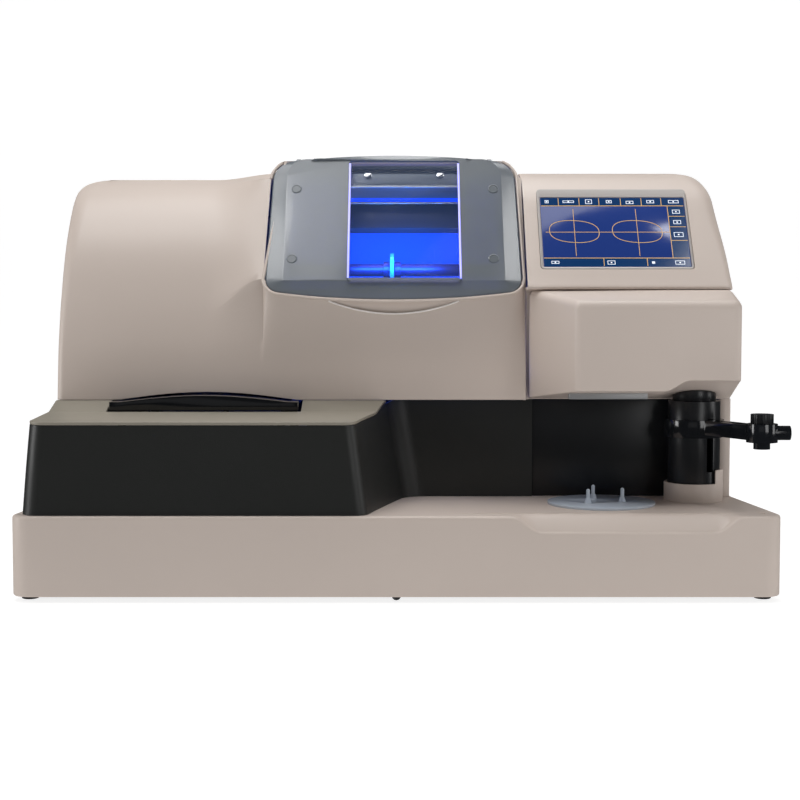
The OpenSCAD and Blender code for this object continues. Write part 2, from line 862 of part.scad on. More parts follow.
// Lower and upper edge of the lid at x: both are bowed, with rounded corners
function corner_drop(x, r) = r * (1 - sqrt(1 - pow(max(abs(x) - lid_w / 2 + r, 0) / r, 2)));
function lid_low(x) = 10.4 + 9 * pow(x / 120, 2) + corner_drop(x, 14);
function lid_high(x) = lid_len - 8 * pow(x / 112, 2) - corner_drop(x, 20);
lid_xs = [for (i = [0:24]) -lid_w / 2 * cos(180 * i / 24)];
lid_plan = concat(
    [for (x = lid_xs) [x, lid_low(x)]],
    reversed([for (x = lid_xs) [x, lid_high(x)]])
);

module chamber_lid() color(smoke) in_frame() {
    difference() {
        union() {
            on_lid() rise(-lid_t, 0) polygon(lid_plan);
            for (x = [[lid_x - 125, lid_x - 105], [lid_x + 105, lid_x + 125]]) {
                bar_x(x, hinge_y, hinge_z, 8.5);
                on_lid() box([x[0] - lid_x + 3, x[1] - lid_x - 3], [181, 187.5], [-10, -1]);
            }
        }
        bar_x([-200, 200], hinge_y, hinge_z, hinge_r + run);
        on_lid() rise(-10, 10) rounded(window_x, window_y, 4);
    }
}

module lid_window() color(clear) in_frame() on_lid() {
    rise(-lid_t + 0.5, -0.8) rounded(window_x, window_y, 4);
}

module lens_carriage() color(alloy) in_frame() {
    z = [shaft_z - 19, shaft_z + 19];
    difference() {
        union() {
            for (x = [[-155, -131], [126, 156]])
                box(x, [shaft_y - 19, 96], z);
            box([-155, 156], [75, 96], z);
        }
        for (x = [-guide_x, guide_x])
            bar_z(x, guide_y, [200, 400], guide_r + run);
        bar_x([-200, 0], shaft_y, shaft_z, shaft_r + run);
        bar_x([0, 200], shaft_y, shaft_z, 12 + run);
    }
}

module left_shaft() color(steel) in_frame() {
    bar_x([-165, lens_x - 7], shaft_y, shaft_z, shaft_r);
    bar_x([lens_x - 7, lens_x], shaft_y, shaft_z, pad_r);
    bar_x([-171, -157], shaft_y, shaft_z, 14);
}

module lens() color(clear) in_frame() {
    bar_x([lens_x, lens_x + lens_t], shaft_y, shaft_z, lens_r);
}

module clamp_quill() color(steel) in_frame() {
    difference() {
        union() {
            bar_x([124, 176], shaft_y, shaft_z, 12);
            bar_x([160 + clamp_travel, 184 + clamp_travel], shaft_y, shaft_z, 16);
            bar_x([170, 190], shaft_y, shaft_z, 12);
        }
        bar_x([100, 260], shaft_y, shaft_z, shaft_r + run);
    }
}

module right_shaft() color(steel) in_frame() {
    right_pad = lens_x + lens_t + gap;
    bar_x([right_pad, right_pad + 7], shaft_y, shaft_z, pad_r);
    bar_x([right_pad + 7, 208], shaft_y, shaft_z, shaft_r);
}

module spindle() color(steel) in_frame() {
    bar_x([-52, 166], wheel_y, wheel_z, spindle_r);
    bar_x([pulley_x[0], pulley_x[1]], wheel_y, wheel_z, spindle_pulley_r);
    bar_x([pulley_x[0] - 2, pulley_x[0]], wheel_y, wheel_z, spindle_pulley_r + 3);
}

module grinding_wheels() color(bronze) in_frame() {
    difference() {
        union() {
            bar_x([-46, -24], wheel_y, wheel_z, wheel_r);
            bar_x([-24, -20], wheel_y, wheel_z, wheel_r - 3);
            bar_x([-20, 2], wheel_y, wheel_z, wheel_r);
            bar_x([2, 6], wheel_y, wheel_z, wheel_r - 3);
            bar_x([6, 28], wheel_y, wheel_z, wheel_r);
            bar_x([28, 40], wheel_y, wheel_z, 16);
            bar_x([40, 44], wheel_y, wheel_z, wheel_r - 10);
        }
        bar_x([-80, 80], wheel_y, wheel_z, spindle_r);
    }
}

module spindle_bearings() color(steel) in_frame() {
    for (x = [[tub_x[1] + 1, tub_x[1] + 3 + upright_t], [guide_x + 15, guide_x + 21]])
        difference() {
            bar_x(x, wheel_y, wheel_z, 16);
            bar_x([0, 200], wheel_y, wheel_z, spindle_r + run);
        }
}

module drive_belt() color(rubber) in_frame() {
    a = [wheel_y, wheel_z];
    b = [motor_y, motor_z];
    difference() {
        across(pulley_x[0] + 1, pulley_x[1] - 1)
            polygon(belt_pts(a, spindle_pulley_r + 2.9, b, motor_pulley_r + 2.9));
        across(pulley_x[0], pulley_x[1])
            polygon(belt_pts(a, spindle_pulley_r + 0.4, b, motor_pulley_r + 0.4));
    }
}

module spindle_motor() color(alloy) in_frame() {
    difference() {
        union() {
            bar_x([20, tub_x[1] + 3], motor_y, motor_z, 42);
            bar_x([8, 20], motor_y, motor_z, 36);
            box([40, 95], [motor_y - 42, motor_y + 42], [plate_top + 5, motor_z]);
        }
        bar_x([60, 200], motor_y, motor_z, rotor_r + run);
    }
}

module motor_rotor() color(steel) in_frame() {
    bar_x([62, 155], motor_y, motor_z, rotor_r);
    bar_x([pulley_x[0], pulley_x[1]], motor_y, motor_z, motor_pulley_r);
    bar_x([pulley_x[0] - 2, pulley_x[0]], motor_y, motor_z, motor_pulley_r + 2.6);
}

// ---- Rear services --------------------------------------------------------------------------

fan_x = 240;
fan_z = 310;
spigot_xs = [-60, -20];
spigot_z = 112;
spigot_r = 7;
screw_places = [[-330, 205], [-100, 205], [120, 205], [325, 205], [-330, 360], [325, 360]];

module fan_frame() color(rubber) in_frame() {
    difference() {
        box([fan_x - 60, fan_x + 60], [rear_y - wall - 25, rear_y - wall], [fan_z - 60, fan_z + 60]);
        bar_y(fan_x, [rear_y - wall - 30, rear_y], fan_z, 57);
    }
    difference() {
        union() {
            bar_y(fan_x, [rear_y - wall - 25, rear_y - wall - 22], fan_z, 20);
            for (a = [45, 135])
                translate([fan_x, rear_y - wall - 23.5, fan_z]) rotate([0, a, 0])
                    cube([115, 3, 6], center = true);
        }
        bar_y(fan_x, [rear_y - wall - 30, rear_y], fan_z, 2.5 + run);
    }
}

module fan_rotor() color(charcoal) in_frame() {
    blades = 7;
    bar_y(fan_x, [rear_y - wall - 25, rear_y - wall - 4], fan_z, 2.5);
    bar_y(fan_x, [rear_y - wall - 20, rear_y - wall - 4], fan_z, 19);
    for (i = [0:blades - 1])
        translate([fan_x, rear_y - wall - 12, fan_z]) rotate([0, i * 360 / blades, 0])
            translate([34, 0, 0]) rotate([35, 0, 0]) cube([36, 2, 20], center = true);
}

module power_inlet() color(gloss_black) in_frame() {
    difference() {
        union() {
            box([148, 176], [rear_y - 25, rear_y], [108, 128]);
            box([142, 182], [rear_y, rear_y + 2], [104, 132]);
        }
        box([151, 173], [rear_y - 18, rear_y + 10], [111, 125]);
    }
    for (x = [156, 162, 168])
        box([x - 1, x + 1], [rear_y - 20, rear_y - 11], [115, 120]);
}

module rocker_switch() color(gloss_black) in_frame() {
    translate([196.5, rear_y, 114.5]) rotate([0, 0, -7]) {
        box([-8, 8], [-4, 1.8], [-5, 5]);
        bar_z(0, 0, [-6.2, 6.2], 1.5);
    }
}

module water_spigots() color(steel) in_frame() {
    for (x = spigot_xs)
        difference() {
            union() {
                bar_y(x, [rear_y - 20, base_rear], spigot_z, spigot_r);
                bar_y(x, [rear_y, rear_y + 3], spigot_z, spigot_r + 4);
            }
            bar_y(x, [rear_y - 30, base_rear + cut], spigot_z, spigot_r - 2);
        }
}

module cover_screws() color(steel) in_frame() {
    for (p = screw_places) {
        bar_y(p[0], [rear_y - 12, rear_y], p[1], 2.2);
        translate([p[0], rear_y, p[1]]) rotate([-90, 0, 0]) cylinder(r1 = 4.5, r2 = 3, h = 2);
    }
    on_lid() for (x = header_screw_x) {
        bar_z(x, header_screw_y, header_z, 2.4);
        bar_z(x, header_screw_y, [header_z[1], header_z[1] + 1.5], 4);
    }
}

base_shell();
chassis_plate();
corner_feet();
levelling_foot();
machine_frame();
lower_skirt();
tracer_housing();
tracer_deck();
tracer_frame();
jaw_rods();
front_jaw();
rear_jaw();
tracer_motor();
tracer_turntable();
stylus_slider();
stylus();
main_cover();
hood_frame();
rear_cover();
console_cover();
head_cover();
bay_panel();
head_light_bar();
centring_camera();
touch_glass();
lcd_panel();
control_board();
power_supply();
chamber_tub();
chamber_header();
chamber_led_strip();
water_jets();
lid_seal();
hinge_pins();
chamber_lid();
lid_window();
lens_carriage();
left_shaft();
lens();
clamp_quill();
right_shaft();
spindle();
grinding_wheels();
spindle_bearings();
drive_belt();
spindle_motor();
motor_rotor();
fan_frame();
fan_rotor();
power_inlet();
rocker_switch();
water_spigots();
cover_screws();
column_ring();
column_post();
column_sleeve();
swing_arm();
holder_knob();
lens_disc();
disc_lamp();
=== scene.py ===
"""Looks of the bench-top lens finishing unit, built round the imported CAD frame.

Every outline below is in millimetres from the middle of the base, with +X to the right seen from
the front, +Y to the rear and +Z up; at() turns it into the row frame in metres.
"""
import json
import math

import bmesh
import bpy
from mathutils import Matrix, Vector
from mathutils.geometry import tessellate_polygon

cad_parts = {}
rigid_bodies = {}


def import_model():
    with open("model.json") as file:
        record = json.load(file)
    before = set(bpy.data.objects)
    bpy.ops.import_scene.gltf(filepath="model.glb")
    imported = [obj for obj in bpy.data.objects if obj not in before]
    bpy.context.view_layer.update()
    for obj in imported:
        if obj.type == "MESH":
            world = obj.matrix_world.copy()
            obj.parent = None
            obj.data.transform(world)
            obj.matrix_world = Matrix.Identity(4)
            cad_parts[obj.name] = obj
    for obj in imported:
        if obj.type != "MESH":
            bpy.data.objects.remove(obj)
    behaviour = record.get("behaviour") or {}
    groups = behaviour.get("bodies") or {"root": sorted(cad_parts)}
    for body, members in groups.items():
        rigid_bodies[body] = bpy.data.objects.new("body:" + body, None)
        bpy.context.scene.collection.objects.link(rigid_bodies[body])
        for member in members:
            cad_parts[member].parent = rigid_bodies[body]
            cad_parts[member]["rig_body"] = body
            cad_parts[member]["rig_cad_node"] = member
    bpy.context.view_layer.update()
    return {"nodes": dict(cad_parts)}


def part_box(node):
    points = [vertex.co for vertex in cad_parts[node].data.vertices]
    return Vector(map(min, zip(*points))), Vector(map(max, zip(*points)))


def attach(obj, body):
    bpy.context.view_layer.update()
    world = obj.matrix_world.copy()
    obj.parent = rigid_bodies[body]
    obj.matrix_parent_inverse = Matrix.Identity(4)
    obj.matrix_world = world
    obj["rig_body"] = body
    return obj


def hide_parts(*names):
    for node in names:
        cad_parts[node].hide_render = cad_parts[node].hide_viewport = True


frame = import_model()

MM = 0.001
BASE_LO, BASE_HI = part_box("base_shell")
MIDDLE_X = (BASE_LO.x + BASE_HI.x) / 2

# Sizes that the CAD model drives, in millimetres
BASE_TOP = 83
BODY_LEFT, BODY_RIGHT, SEAM_X = -352, 349.5, 134
BODY_BOTTOM, SPLIT_Y, REAR_Y, BODY_TOP = 186, 120, 235, 424
FLANK_Y = -98
TRACER_X, BAY_HALF = -195.5, 98.5
WALL, END_R = 3.2, 20
DISC_X, DISC_Y = 207, -156
COLUMN_X, COLUMN_Y = 306, -126
HINGE_Y, HINGE_Z = -12, 436
BASE_FRONT = -250

# Steps of a quarter turn, in degrees, for rounded edges
QUARTER = range(0, 91, 15)


# ---- Points and meshes ---------------------------------------------------------------------


def at(point):
    return Vector((MIDDLE_X + point[0] * MM, point[1] * MM, point[2] * MM))


def ease(t):
    t = min(max(t, 0), 1)
    return t * t * (3 - 2 * t)


def mix(a, b, t):
    return tuple(p + (q - p) * t for p, q in zip(a, b))


def arc(cx, cy, r, start, end, n=8):
    angles = [math.radians(start + (end - start) * i / n) for i in range(n + 1)]
    return [(cx + r * math.cos(a), cy + r * math.sin(a)) for a in angles]


def line(a, b, n):
    return [mix(a, b, i / n) for i in range(n + 1)]


def spread(points, n):
    """n + 1 points at equal steps along a polyline."""
    lengths = [0]
    for a, b in zip(points, points[1:]):
        lengths.append(lengths[-1] + math.dist(a, b))
    out, k = [], 0
    for i in range(n + 1):
        want = lengths[-1] * i / n
        while k < len(points) - 2 and lengths[k + 1] < want:
            k += 1
        span = lengths[k + 1] - lengths[k]
        out.append(mix(points[k], points[k + 1], (want - lengths[k]) / span if span else 0))
    return out


def spline(points, n=8):
    """Smooth curve through points, with n steps between two of them."""
    ends = [mix(points[1], points[0], 2)] + list(points) + [mix(points[-2], points[-1], 2)]
    out = []
    for p, q, r, s in zip(ends, ends[1:], ends[2:], ends[3:]):
        for i in range(n):
            t = i / n
            out.append(tuple(
                0.5 * (2 * b + (c - a) * t + (2 * a - 5 * b + 4 * c - d) * t * t
                       + (3 * b - a - 3 * c + d) * t ** 3)
                for a, b, c, d in zip(p, q, r, s)))
    return out + [tuple(points[-1])]


def inset(outline, d):
    """The closed anticlockwise outline with every edge moved inwards by d."""
    out = []
    for i, p in enumerate(outline):
        before, after = Vector(outline[i - 1]), Vector(outline[(i + 1) % len(outline)])
        u, v = (Vector(p) - before).normalized(), (after - Vector(p)).normalized()
        m, n = Vector((-u.y, u.x)), Vector((-v.y, v.x))
        out.append(tuple(Vector(p) + (m + n) * (d / (1 + m.dot(n)))))
    return out


def rounded(x0, x1, y0, y1, r, n=5):
    return (arc(x0 + r, y0 + r, r, 180, 270, n) + arc(x1 - r, y0 + r, r, 270, 360, n)
            + arc(x1 - r, y1 - r, r, 0, 90, n) + arc(x0 + r, y1 - r, r, 90, 180, n))


class Skin:
    """Points and faces of one surface."""

    def __init__(self):
        self.points, self.faces = [], []

    def row(self, points):
        first = len(self.points)
        self.points += [tuple(p) for p in points]
        return list(range(first, len(self.points)))

    def strip(self, a, b, closed=False):
        for i in range(len(a) if closed else len(a) - 1):
            j = (i + 1) % len(a)
            self.faces.append((a[i], a[j], b[j], b[i]))

    def loft(self, rows, closed=False):
        rows = [self.row(r) for r in rows]
        for a, b in zip(rows, rows[1:]):
            self.strip(a, b, closed)
        return rows

    def fill(self, rings):
        """Face inside the first ring of point indices and outside the others."""
        flat = [i for ring in rings for i in ring]
        loops = [[Vector(self.points[i]) for i in ring] for ring in rings]
        self.faces += [tuple(flat[k] for k in t) for t in tessellate_polygon(loops)]

    def prism(self, outline, place, low, high):
        """Closed prism of an outline; place(u, v, w) gives its points."""
        rows = self.loft([[place(u, v, w) for u, v in outline] for w in (low, high)], True)
        self.faces += [tuple(reversed(rows[0])), tuple(rows[1])]

    def tube(self, path, r, n=8, closed=False):
        """Round bar along a path."""
        rings = []
        for i, p in enumerate(path):
            before = path[i - 1] if closed or i else path[i]
            after = path[(i + 1) % len(path)] if closed or i < len(path) - 1 else path[i]
            along = (Vector(after) - Vector(before)).normalized()
            side = along.cross((0, 0, 1) if abs(along.z) < 0.9 else (1, 0, 0)).normalized()
            up = side.cross(along)
            rings.append(self.row(
                [Vector(p) + r * (math.cos(a) * side + math.sin(a) * up)
                 for a in [2 * math.pi * k / n for k in range(n)]]))
        for i in range(len(rings) if closed else len(rings) - 1):
            self.strip(rings[i], rings[(i + 1) % len(rings)], True)
        if not closed:
            self.faces += [tuple(reversed(rings[0])), tuple(rings[-1])]

    def turn(self, profile, place, n=48):
        """Surface of revolution; profile is (radius, height), place(x, y, z) gives its points."""
        ring = [2 * math.pi * k / n for k in range(n)]
        rows = self.loft([[place(r * math.cos(a), r * math.sin(a), z) for a in ring]
                          for r, z in profile], True)
        self.faces += [tuple(reversed(rows[0])), tuple(rows[-1])]


def settle(obj):
    """Applies the object's modifiers to its mesh."""
    mesh = bpy.data.meshes.new_from_object(
        obj.evaluated_get(bpy.context.evaluated_depsgraph_get()))
    obj.modifiers.clear()
    obj.data = mesh


def shade(obj, angle):
    for p in obj.data.polygons:
        p.use_smooth = True
    obj.data.set_sharp_from_angle(angle=math.radians(angle))


def mesh_object(name, skin, material, outward=None):
    """An object from a skin; outward is a point that its open surface faces away from."""
    mesh = bpy.data.meshes.new(name)
    mesh.from_pydata([at(p) for p in skin.points], [], skin.faces)
    obj = bpy.data.objects.new(name, mesh)
    bpy.context.scene.collection.objects.link(obj)
    bm = bmesh.new()
    bm.from_mesh(mesh)
    bmesh.ops.remove_doubles(bm, verts=bm.verts, dist=0.02 * MM)
    bmesh.ops.dissolve_degenerate(bm, edges=bm.edges, dist=0.01 * MM)
    bmesh.ops.recalc_face_normals(bm, faces=bm.faces)
    if outward is not None:
        centre = at(outward)
        facing = sum(f.calc_area() * f.normal.dot((f.calc_center_median() - centre).normalized())
                     for f in bm.faces)
        if facing < 0:
            bmesh.ops.reverse_faces(bm, faces=bm.faces)
    bm.to_mesh(mesh)
    bm.free()
    mesh.materials.append(material)
    return obj


def cutter(skin):
    obj = mesh_object("cutter", skin, bpy.data.materials[0])
    obj.hide_render = True
    return obj


def finish(obj, body, stands_for=(), thickness=0.0, cuts=(), edge=0.0, angle=35):
    """Thickens, cuts and softens an object, and fixes it to its body."""
    if thickness:
        solid = obj.modifiers.new("wall", "SOLIDIFY")
        solid.thickness, solid.offset = thickness * MM, -1
        solid.use_even_offset = False
    for c in cuts:
        hole = obj.modifiers.new("cut", "BOOLEAN")
        hole.object, hole.operation, hole.solver = c, "DIFFERENCE", "EXACT"
    if edge:
        soft = obj.modifiers.new("edge", "BEVEL")
        soft.width, soft.segments, soft.limit_method = edge * MM, 2, "ANGLE"
        soft.angle_limit = math.radians(angle)
    if obj.modifiers:
        settle(obj)
    for c in cuts:
        bpy.data.objects.remove(c)
    shade(obj, angle)
    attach(obj, body)
    if stands_for:
        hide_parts(*stands_for)
    return obj


def soften(node, material, edge=0.6, angle=32):
    """A copy of a CAD node with rounded edges, which stands for it."""
    source = frame["nodes"][node]
    obj = source.copy()
    obj.data = source.data.copy()
    obj.name = node + "_fine"
    obj.parent = None
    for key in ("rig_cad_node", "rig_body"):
        del obj[key]
    bpy.context.scene.collection.objects.link(obj)
    bm = bmesh.new()
    bm.from_mesh(obj.data)
    bmesh.ops.remove_doubles(bm, verts=bm.verts, dist=0.01 * MM)
    bmesh.ops.dissolve_limit(bm, angle_limit=math.radians(1), verts=bm.verts, edges=bm.edges)
    bm.to_mesh(obj.data)
    bm.free()
    obj.data.materials.clear()
    obj.data.materials.append(material)
    return finish(obj, source["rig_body"], [node], edge=edge, angle=angle)


# ---- Materials -----------------------------------------------------------------------------

PLASTIC_IOR = 1.45
ROUGHNESS_SPREAD = 0.06
GRAIN_HEIGHT = 0.0002


def look(name, colour, rough, metal=0.0, grain=0.0, size=900, vary=0.05, coat=0.0, alpha=1.0,
         glow=None, power=0.0, brushed=False):
    """A procedural material: a mottled colour, with roughness and a fine grain that vary."""
    material = bpy.data.materials.new(name)
    material.use_nodes = True
    nodes, links = material.node_tree.nodes, material.node_tree.links
    shader = nodes["Principled BSDF"]
    shader.inputs["Metallic"].default_value = metal
    shader.inputs["Coat Weight"].default_value = coat
    shader.inputs["Coat Roughness"].default_value = 0.08
    shader.inputs["IOR"].default_value = PLASTIC_IOR
    shader.inputs["Alpha"].default_value = alpha
    place = nodes.new("ShaderNodeTexCoord")
    stretch = nodes.new("ShaderNodeMapping")
    stretch.inputs["Scale"].default_value = (0.02, 1, 1) if brushed else (1, 1, 1)
    links.new(place.outputs["Object"], stretch.inputs["Vector"])
    broad = nodes.new("ShaderNodeTexNoise")
    broad.inputs["Scale"].default_value = 14 if not brushed else 260
    broad.inputs["Detail"].default_value = 5
    fine = nodes.new("ShaderNodeTexNoise")
    fine.inputs["Scale"].default_value = size
    fine.inputs["Detail"].default_value = 2
    for noise in (broad, fine):
        links.new(stretch.outputs["Vector"], noise.inputs["Vector"])
    tone = nodes.new("ShaderNodeMix")
    tone.data_type = "RGBA"
    low = tuple(c * (1 - vary) for c in colour)
    high = tuple(min(c * (1 + vary), 1) for c in colour)
    tone.inputs["A"].default_value = (*low, 1)
    tone.inputs["B"].default_value = (*high, 1)
    links.new(broad.outputs["Fac"], tone.inputs["Factor"])
    links.new(tone.outputs["Result"], shader.inputs["Base Color"])
    gloss = nodes.new("ShaderNodeMapRange")
    gloss.inputs["To Min"].default_value = max(rough - ROUGHNESS_SPREAD, 0.02)
    gloss.inputs["To Max"].default_value = rough + ROUGHNESS_SPREAD
    links.new(broad.outputs["Fac"], gloss.inputs["Value"])
    links.new(gloss.outputs["Result"], shader.inputs["Roughness"])
    if grain:
        bump = nodes.new("ShaderNodeBump")
        bump.inputs["Strength"].default_value = grain
        bump.inputs["Distance"].default_value = GRAIN_HEIGHT
        links.new(fine.outputs["Fac"], bump.inputs["Height"])
        links.new(bump.outputs["Normal"], shader.inputs["Normal"])
    if glow:
        shader.inputs["Emission Color"].default_value = (*glow, 1)
        shader.inputs["Emission Strength"].default_value = power
    return material


BEIGE = look("beige_plastic", (0.60, 0.515, 0.46), 0.42, grain=0.25, size=1400, vary=0.02)
BEZEL = look("bezel_grey", (0.46, 0.43, 0.41), 0.35, grain=0.2, size=1500, vary=0.03)
# Painted highlight: the bead is paler than the beige, for the lit lower edge of the finger scoop.
HIGHLIGHT_BEAD = look("recess_bead", (0.86, 0.82, 0.79), 0.3, vary=0.02)
# Painted sheen: the tracer top is charcoal plastic, coloured a lighter taupe for the light it
# catches.
SHEEN_TAUPE = look("deck_plastic", (0.27, 0.245, 0.20), 0.45, grain=0.3, size=1300, vary=0.03)
CHARCOAL = look("charcoal_plastic", (0.018, 0.019, 0.018), 0.42, grain=0.5, size=1100)
BLACK = look("black_plastic", (0.010, 0.011, 0.013), 0.30, grain=0.2, size=1200)
GLOSS = look("gloss_black", (0.006, 0.007, 0.009), 0.14, vary=0.1, coat=0.4)
SHEET = look("sheet_steel", (0.50, 0.51, 0.52), 0.38, metal=0.9, grain=0.2, size=500)
BRUSHED = look("brushed_steel", (0.55, 0.56, 0.58), 0.28, metal=1.0, grain=0.2, brushed=True)
BRIGHT = look("bright_steel", (0.68, 0.69, 0.71), 0.16, metal=1.0, vary=0.03)
ALLOY = look("cast_alloy", (0.42, 0.43, 0.44), 0.48, metal=0.7, grain=0.6, size=350)
# Painted light: the lining's blue emission stands for the chamber's LEDs shining on its walls.
LINING_PAINTED_GLOW = look("chamber_lining", (0.003, 0.05, 0.50), 0.45, grain=0.2, size=300,
              glow=(0.0, 0.075, 0.9), power=0.6)
# Painted shade: the shafts' steel is coloured dark purple for the dim, blue-lit chamber it stands
# in.
SHADED_STEEL = look("wet_steel", (0.035, 0.02, 0.09), 0.35, metal=0.6, brushed=True)
RUBBER = look("rubber", (0.012, 0.012, 0.012), 0.7, grain=0.6, size=600)
SMOKE = look("smoke_plastic", (0.165, 0.185, 0.205), 0.24, grain=0.15, size=500, vary=0.12,
             alpha=0.86, coat=0.3)
CLEAR = look("clear_plastic", (0.15, 0.25, 0.5), 0.08, vary=0.03, alpha=0.07, coat=0.1)
FROST = look("frosted_clear", (0.62, 0.68, 0.76), 0.25, vary=0.08, alpha=0.86, coat=0.3)
# Painted light: the lens's cyan emission stands for the chamber's blue light on it.
LENS_PAINTED_GLOW = look("lens_glass", (0.10, 0.40, 0.7), 0.06, vary=0.03, alpha=0.4, glow=(0.05, 0.6, 1.0),
            power=0.4)
BOARD = look("circuit_board", (0.02, 0.12, 0.06), 0.4, vary=0.25)
LAMP_BLUE = look("lamp_blue", (0.2, 0.6, 1.0), 0.3, glow=(0.05, 0.55, 1.0), power=3.0)
LAMP_PALE = look("lamp_pale", (0.5, 0.7, 0.9), 0.3, glow=(0.25, 0.5, 0.9), power=0.5)
BRONZE = look("wheel_bronze", (0.30, 0.20, 0.10), 0.6, metal=0.4, grain=0.8, size=900)
PANEL = look("panel_metal", (0.17, 0.19, 0.22), 0.36, metal=0.5, grain=0.3, size=400, vary=0.1)
DARK_METAL = look("dark_lining", (0.03, 0.035, 0.06), 0.4, metal=0.3, vary=0.2)
LILAC = look("lit_edge", (0.55, 0.55, 0.95), 0.3, glow=(0.35, 0.35, 1.0), power=0.7)
CANVAS = look("screen_canvas", (0.01, 0.025, 0.12), 0.12, glow=(0.008, 0.022, 0.115), power=0.9)
NAVY = look("screen_bar", (0.004, 0.02, 0.07), 0.12, glow=(0.002, 0.022, 0.075), power=0.9)
ORANGE = look("screen_orange", (0.5, 0.3, 0.1), 0.2, glow=(0.42, 0.27, 0.10), power=0.9)
PALE = look("screen_pale", (0.6, 0.65, 0.7), 0.2, glow=(0.55, 0.60, 0.68), power=0.9)


# ---- Base ----------------------------------------------------------------------------------

SCOOP_DEPTH, SCOOP_REACH, BASE_EDGE = 19, 17.4, 3


def scoop_dip(x):
    """Depth of the scoop in the front edge at x."""
    return SCOOP_DEPTH * (ease((x - 110) / 28) - ease((x - 305) / 26))


def base_level(x, inward, y):
    if y > -200:
        return BASE_TOP
    fade = (1 - min(inward / SCOOP_REACH, 1)) ** 1.3
    return BASE_TOP - scoop_dip(x) * fade


# The front edge has close points where the scoop starts and ends
front_edge = [(x, BASE_FRONT) for x in (*range(-335, 106, 15), *range(108, 142, 2),
                                        *range(150, 301, 15), *range(304, 334, 2))]
CORNER_X, CORNER_Y, CORNER_R = 351, -232, 18
base_outline = (arc(-CORNER_X, CORNER_Y, CORNER_R, 180, 270, 10) + front_edge
                + arc(CORNER_X, CORNER_Y, CORNER_R, 270, 360, 10)
                + [(353, FLANK_Y)] + arc(345, 242, 8, 0, 90, 5) + arc(-345, 242, 8, 90, 180, 5)
                + [(-353, FLANK_Y)])
base = Skin()
rows = [[(x, y, z) for x, y in inset(base_outline, d)] for d, z in ((0.8, 5.5), (0, 6.7))]
for a in QUARTER:
    sine, cosine = math.sin(math.radians(a)), math.cos(math.radians(a))
    d = BASE_EDGE * (1 - cosine)
    rows.append([(x, y, base_level(x, BASE_EDGE, y) - BASE_EDGE * (1 - sine))
                 for x, y in inset(base_outline, d)])
for d in (4.5, 6, 8, 10, 12.5, 15, SCOOP_REACH):
    rows.append([(x, y, base_level(x, d, y)) for x, y in inset(base_outline, d)])
rings = base.loft(rows, True)
holes = [[(x, y, BASE_TOP) for x, y in outline] for outline in (
    rounded(-322, 322, FLANK_Y + 16, 226, 10), arc(DISC_X, DISC_Y, 49, 0, 352.5, 47),
    arc(COLUMN_X, COLUMN_Y, 12.3, 0, 345, 23))]
base.fill([rings[-1]] + [base.row(h) for h in holes])
finish(mesh_object("base_casing", base, BEIGE, (0, 0, 20)), "root",
       ["base_shell"], thickness=WALL, angle=38)

# ---- Frame tracer --------------------------------------------------------------------------

# Outline of the tracer housing at the base and at the deck, from the casing's left side
# round the front to the concave sweep and the back wall
foot_outline = ([(-352, FLANK_Y), (-355.5, -150), (-359.5, -215)] + arc(-342, -228, 18, 180, 270, 8)
                + line((-300, -246), (-80, -246), 8) + arc(-40.4, -232, 14, 270, 345, 8)
                + line((-22, -214), (-2, -140), 4) + arc(30, -124, 26, 165, 90, 10)
                + line((50, FLANK_Y), (142, FLANK_Y), 4))
deck_outline = ([(-352, FLANK_Y), (-352.3, -150), (-353, -212)]
                + arc(-337, -221.5, 16.5, 180, 270, 8)
                + line((-300, -238), (-80, -238), 8) + arc(-52, -224, 14, 270, 345, 8)
                + line((-34, -206), (-19, -144), 4) + arc(13, -124, 26, 165, 90, 10)
                + line((50, FLANK_Y), (142, FLANK_Y), 4))


def deck_level(y):
    points = [(-250, 171.2), (-238, 172), (-150, 176), (-119.5, 185.4), (FLANK_Y, 185.8)]
    for (y0, z0), (y1, z1) in zip(points, points[1:]):
        if y <= y1:
            return z0 + (z1 - z0) * (y - y0) / (y1 - y0)
    return points[-1][1]


def housing_top(y):
    return min(deck_level(y) - 3.4 * ease((-100 - y) / 12), 185.6)


HOUSING_STEPS, HOUSING_BOW = 8, 1.2
housing = Skin()
rows = []
for k in range(HOUSING_STEPS + 1):
    t = k / HOUSING_STEPS
    bow = HOUSING_BOW * math.sin(math.pi * t)
    row = []
    for foot, top in zip(foot_outline, deck_outline):
        x, y = mix(foot, top, t)
        y -= bow * ease((-120 - y) / 60)
        row.append((x, y, BASE_TOP + 0.2 + t * (housing_top(top[1]) - BASE_TOP - 0.2)))
    rows.append(row)
housing.loft(rows)
finish(mesh_object("tracer_casing", housing, CHARCOAL, (-180, -100, 120)), "root",
       ["tracer_housing"], thickness=WALL, angle=40)


def sheet(outline, levels, cuts, name, material, outward):
    """A sheet with this plan, cut along lines (axis, place), at the level of each point."""
    skin = Skin()
    skin.row([(x, y, 0) for x, y in outline])
    skin.faces = [tuple(range(len(outline)))]
    obj = mesh_object(name, skin, material)
    bm = bmesh.new()
    bm.from_mesh(obj.data)
    for axis, where in cuts:
        place = at((where, 0, 0)) if axis == "x" else at((0, where, 0))
        normal = (1, 0, 0) if axis == "x" else (0, 1, 0)
        bmesh.ops.bisect_plane(bm, geom=bm.verts[:] + bm.edges[:] + bm.faces[:],
                               dist=0.001 * MM, plane_co=place, plane_no=normal)
    for v in bm.verts:
        v.co.z = levels((v.co.x - MIDDLE_X) / MM, v.co.y / MM) * MM
    bm.normal_update()
    if sum(f.normal.z for f in bm.faces) * outward < 0:
        bmesh.ops.reverse_faces(bm, faces=bm.faces)
    bm.to_mesh(obj.data)
    bm.free()
    return obj


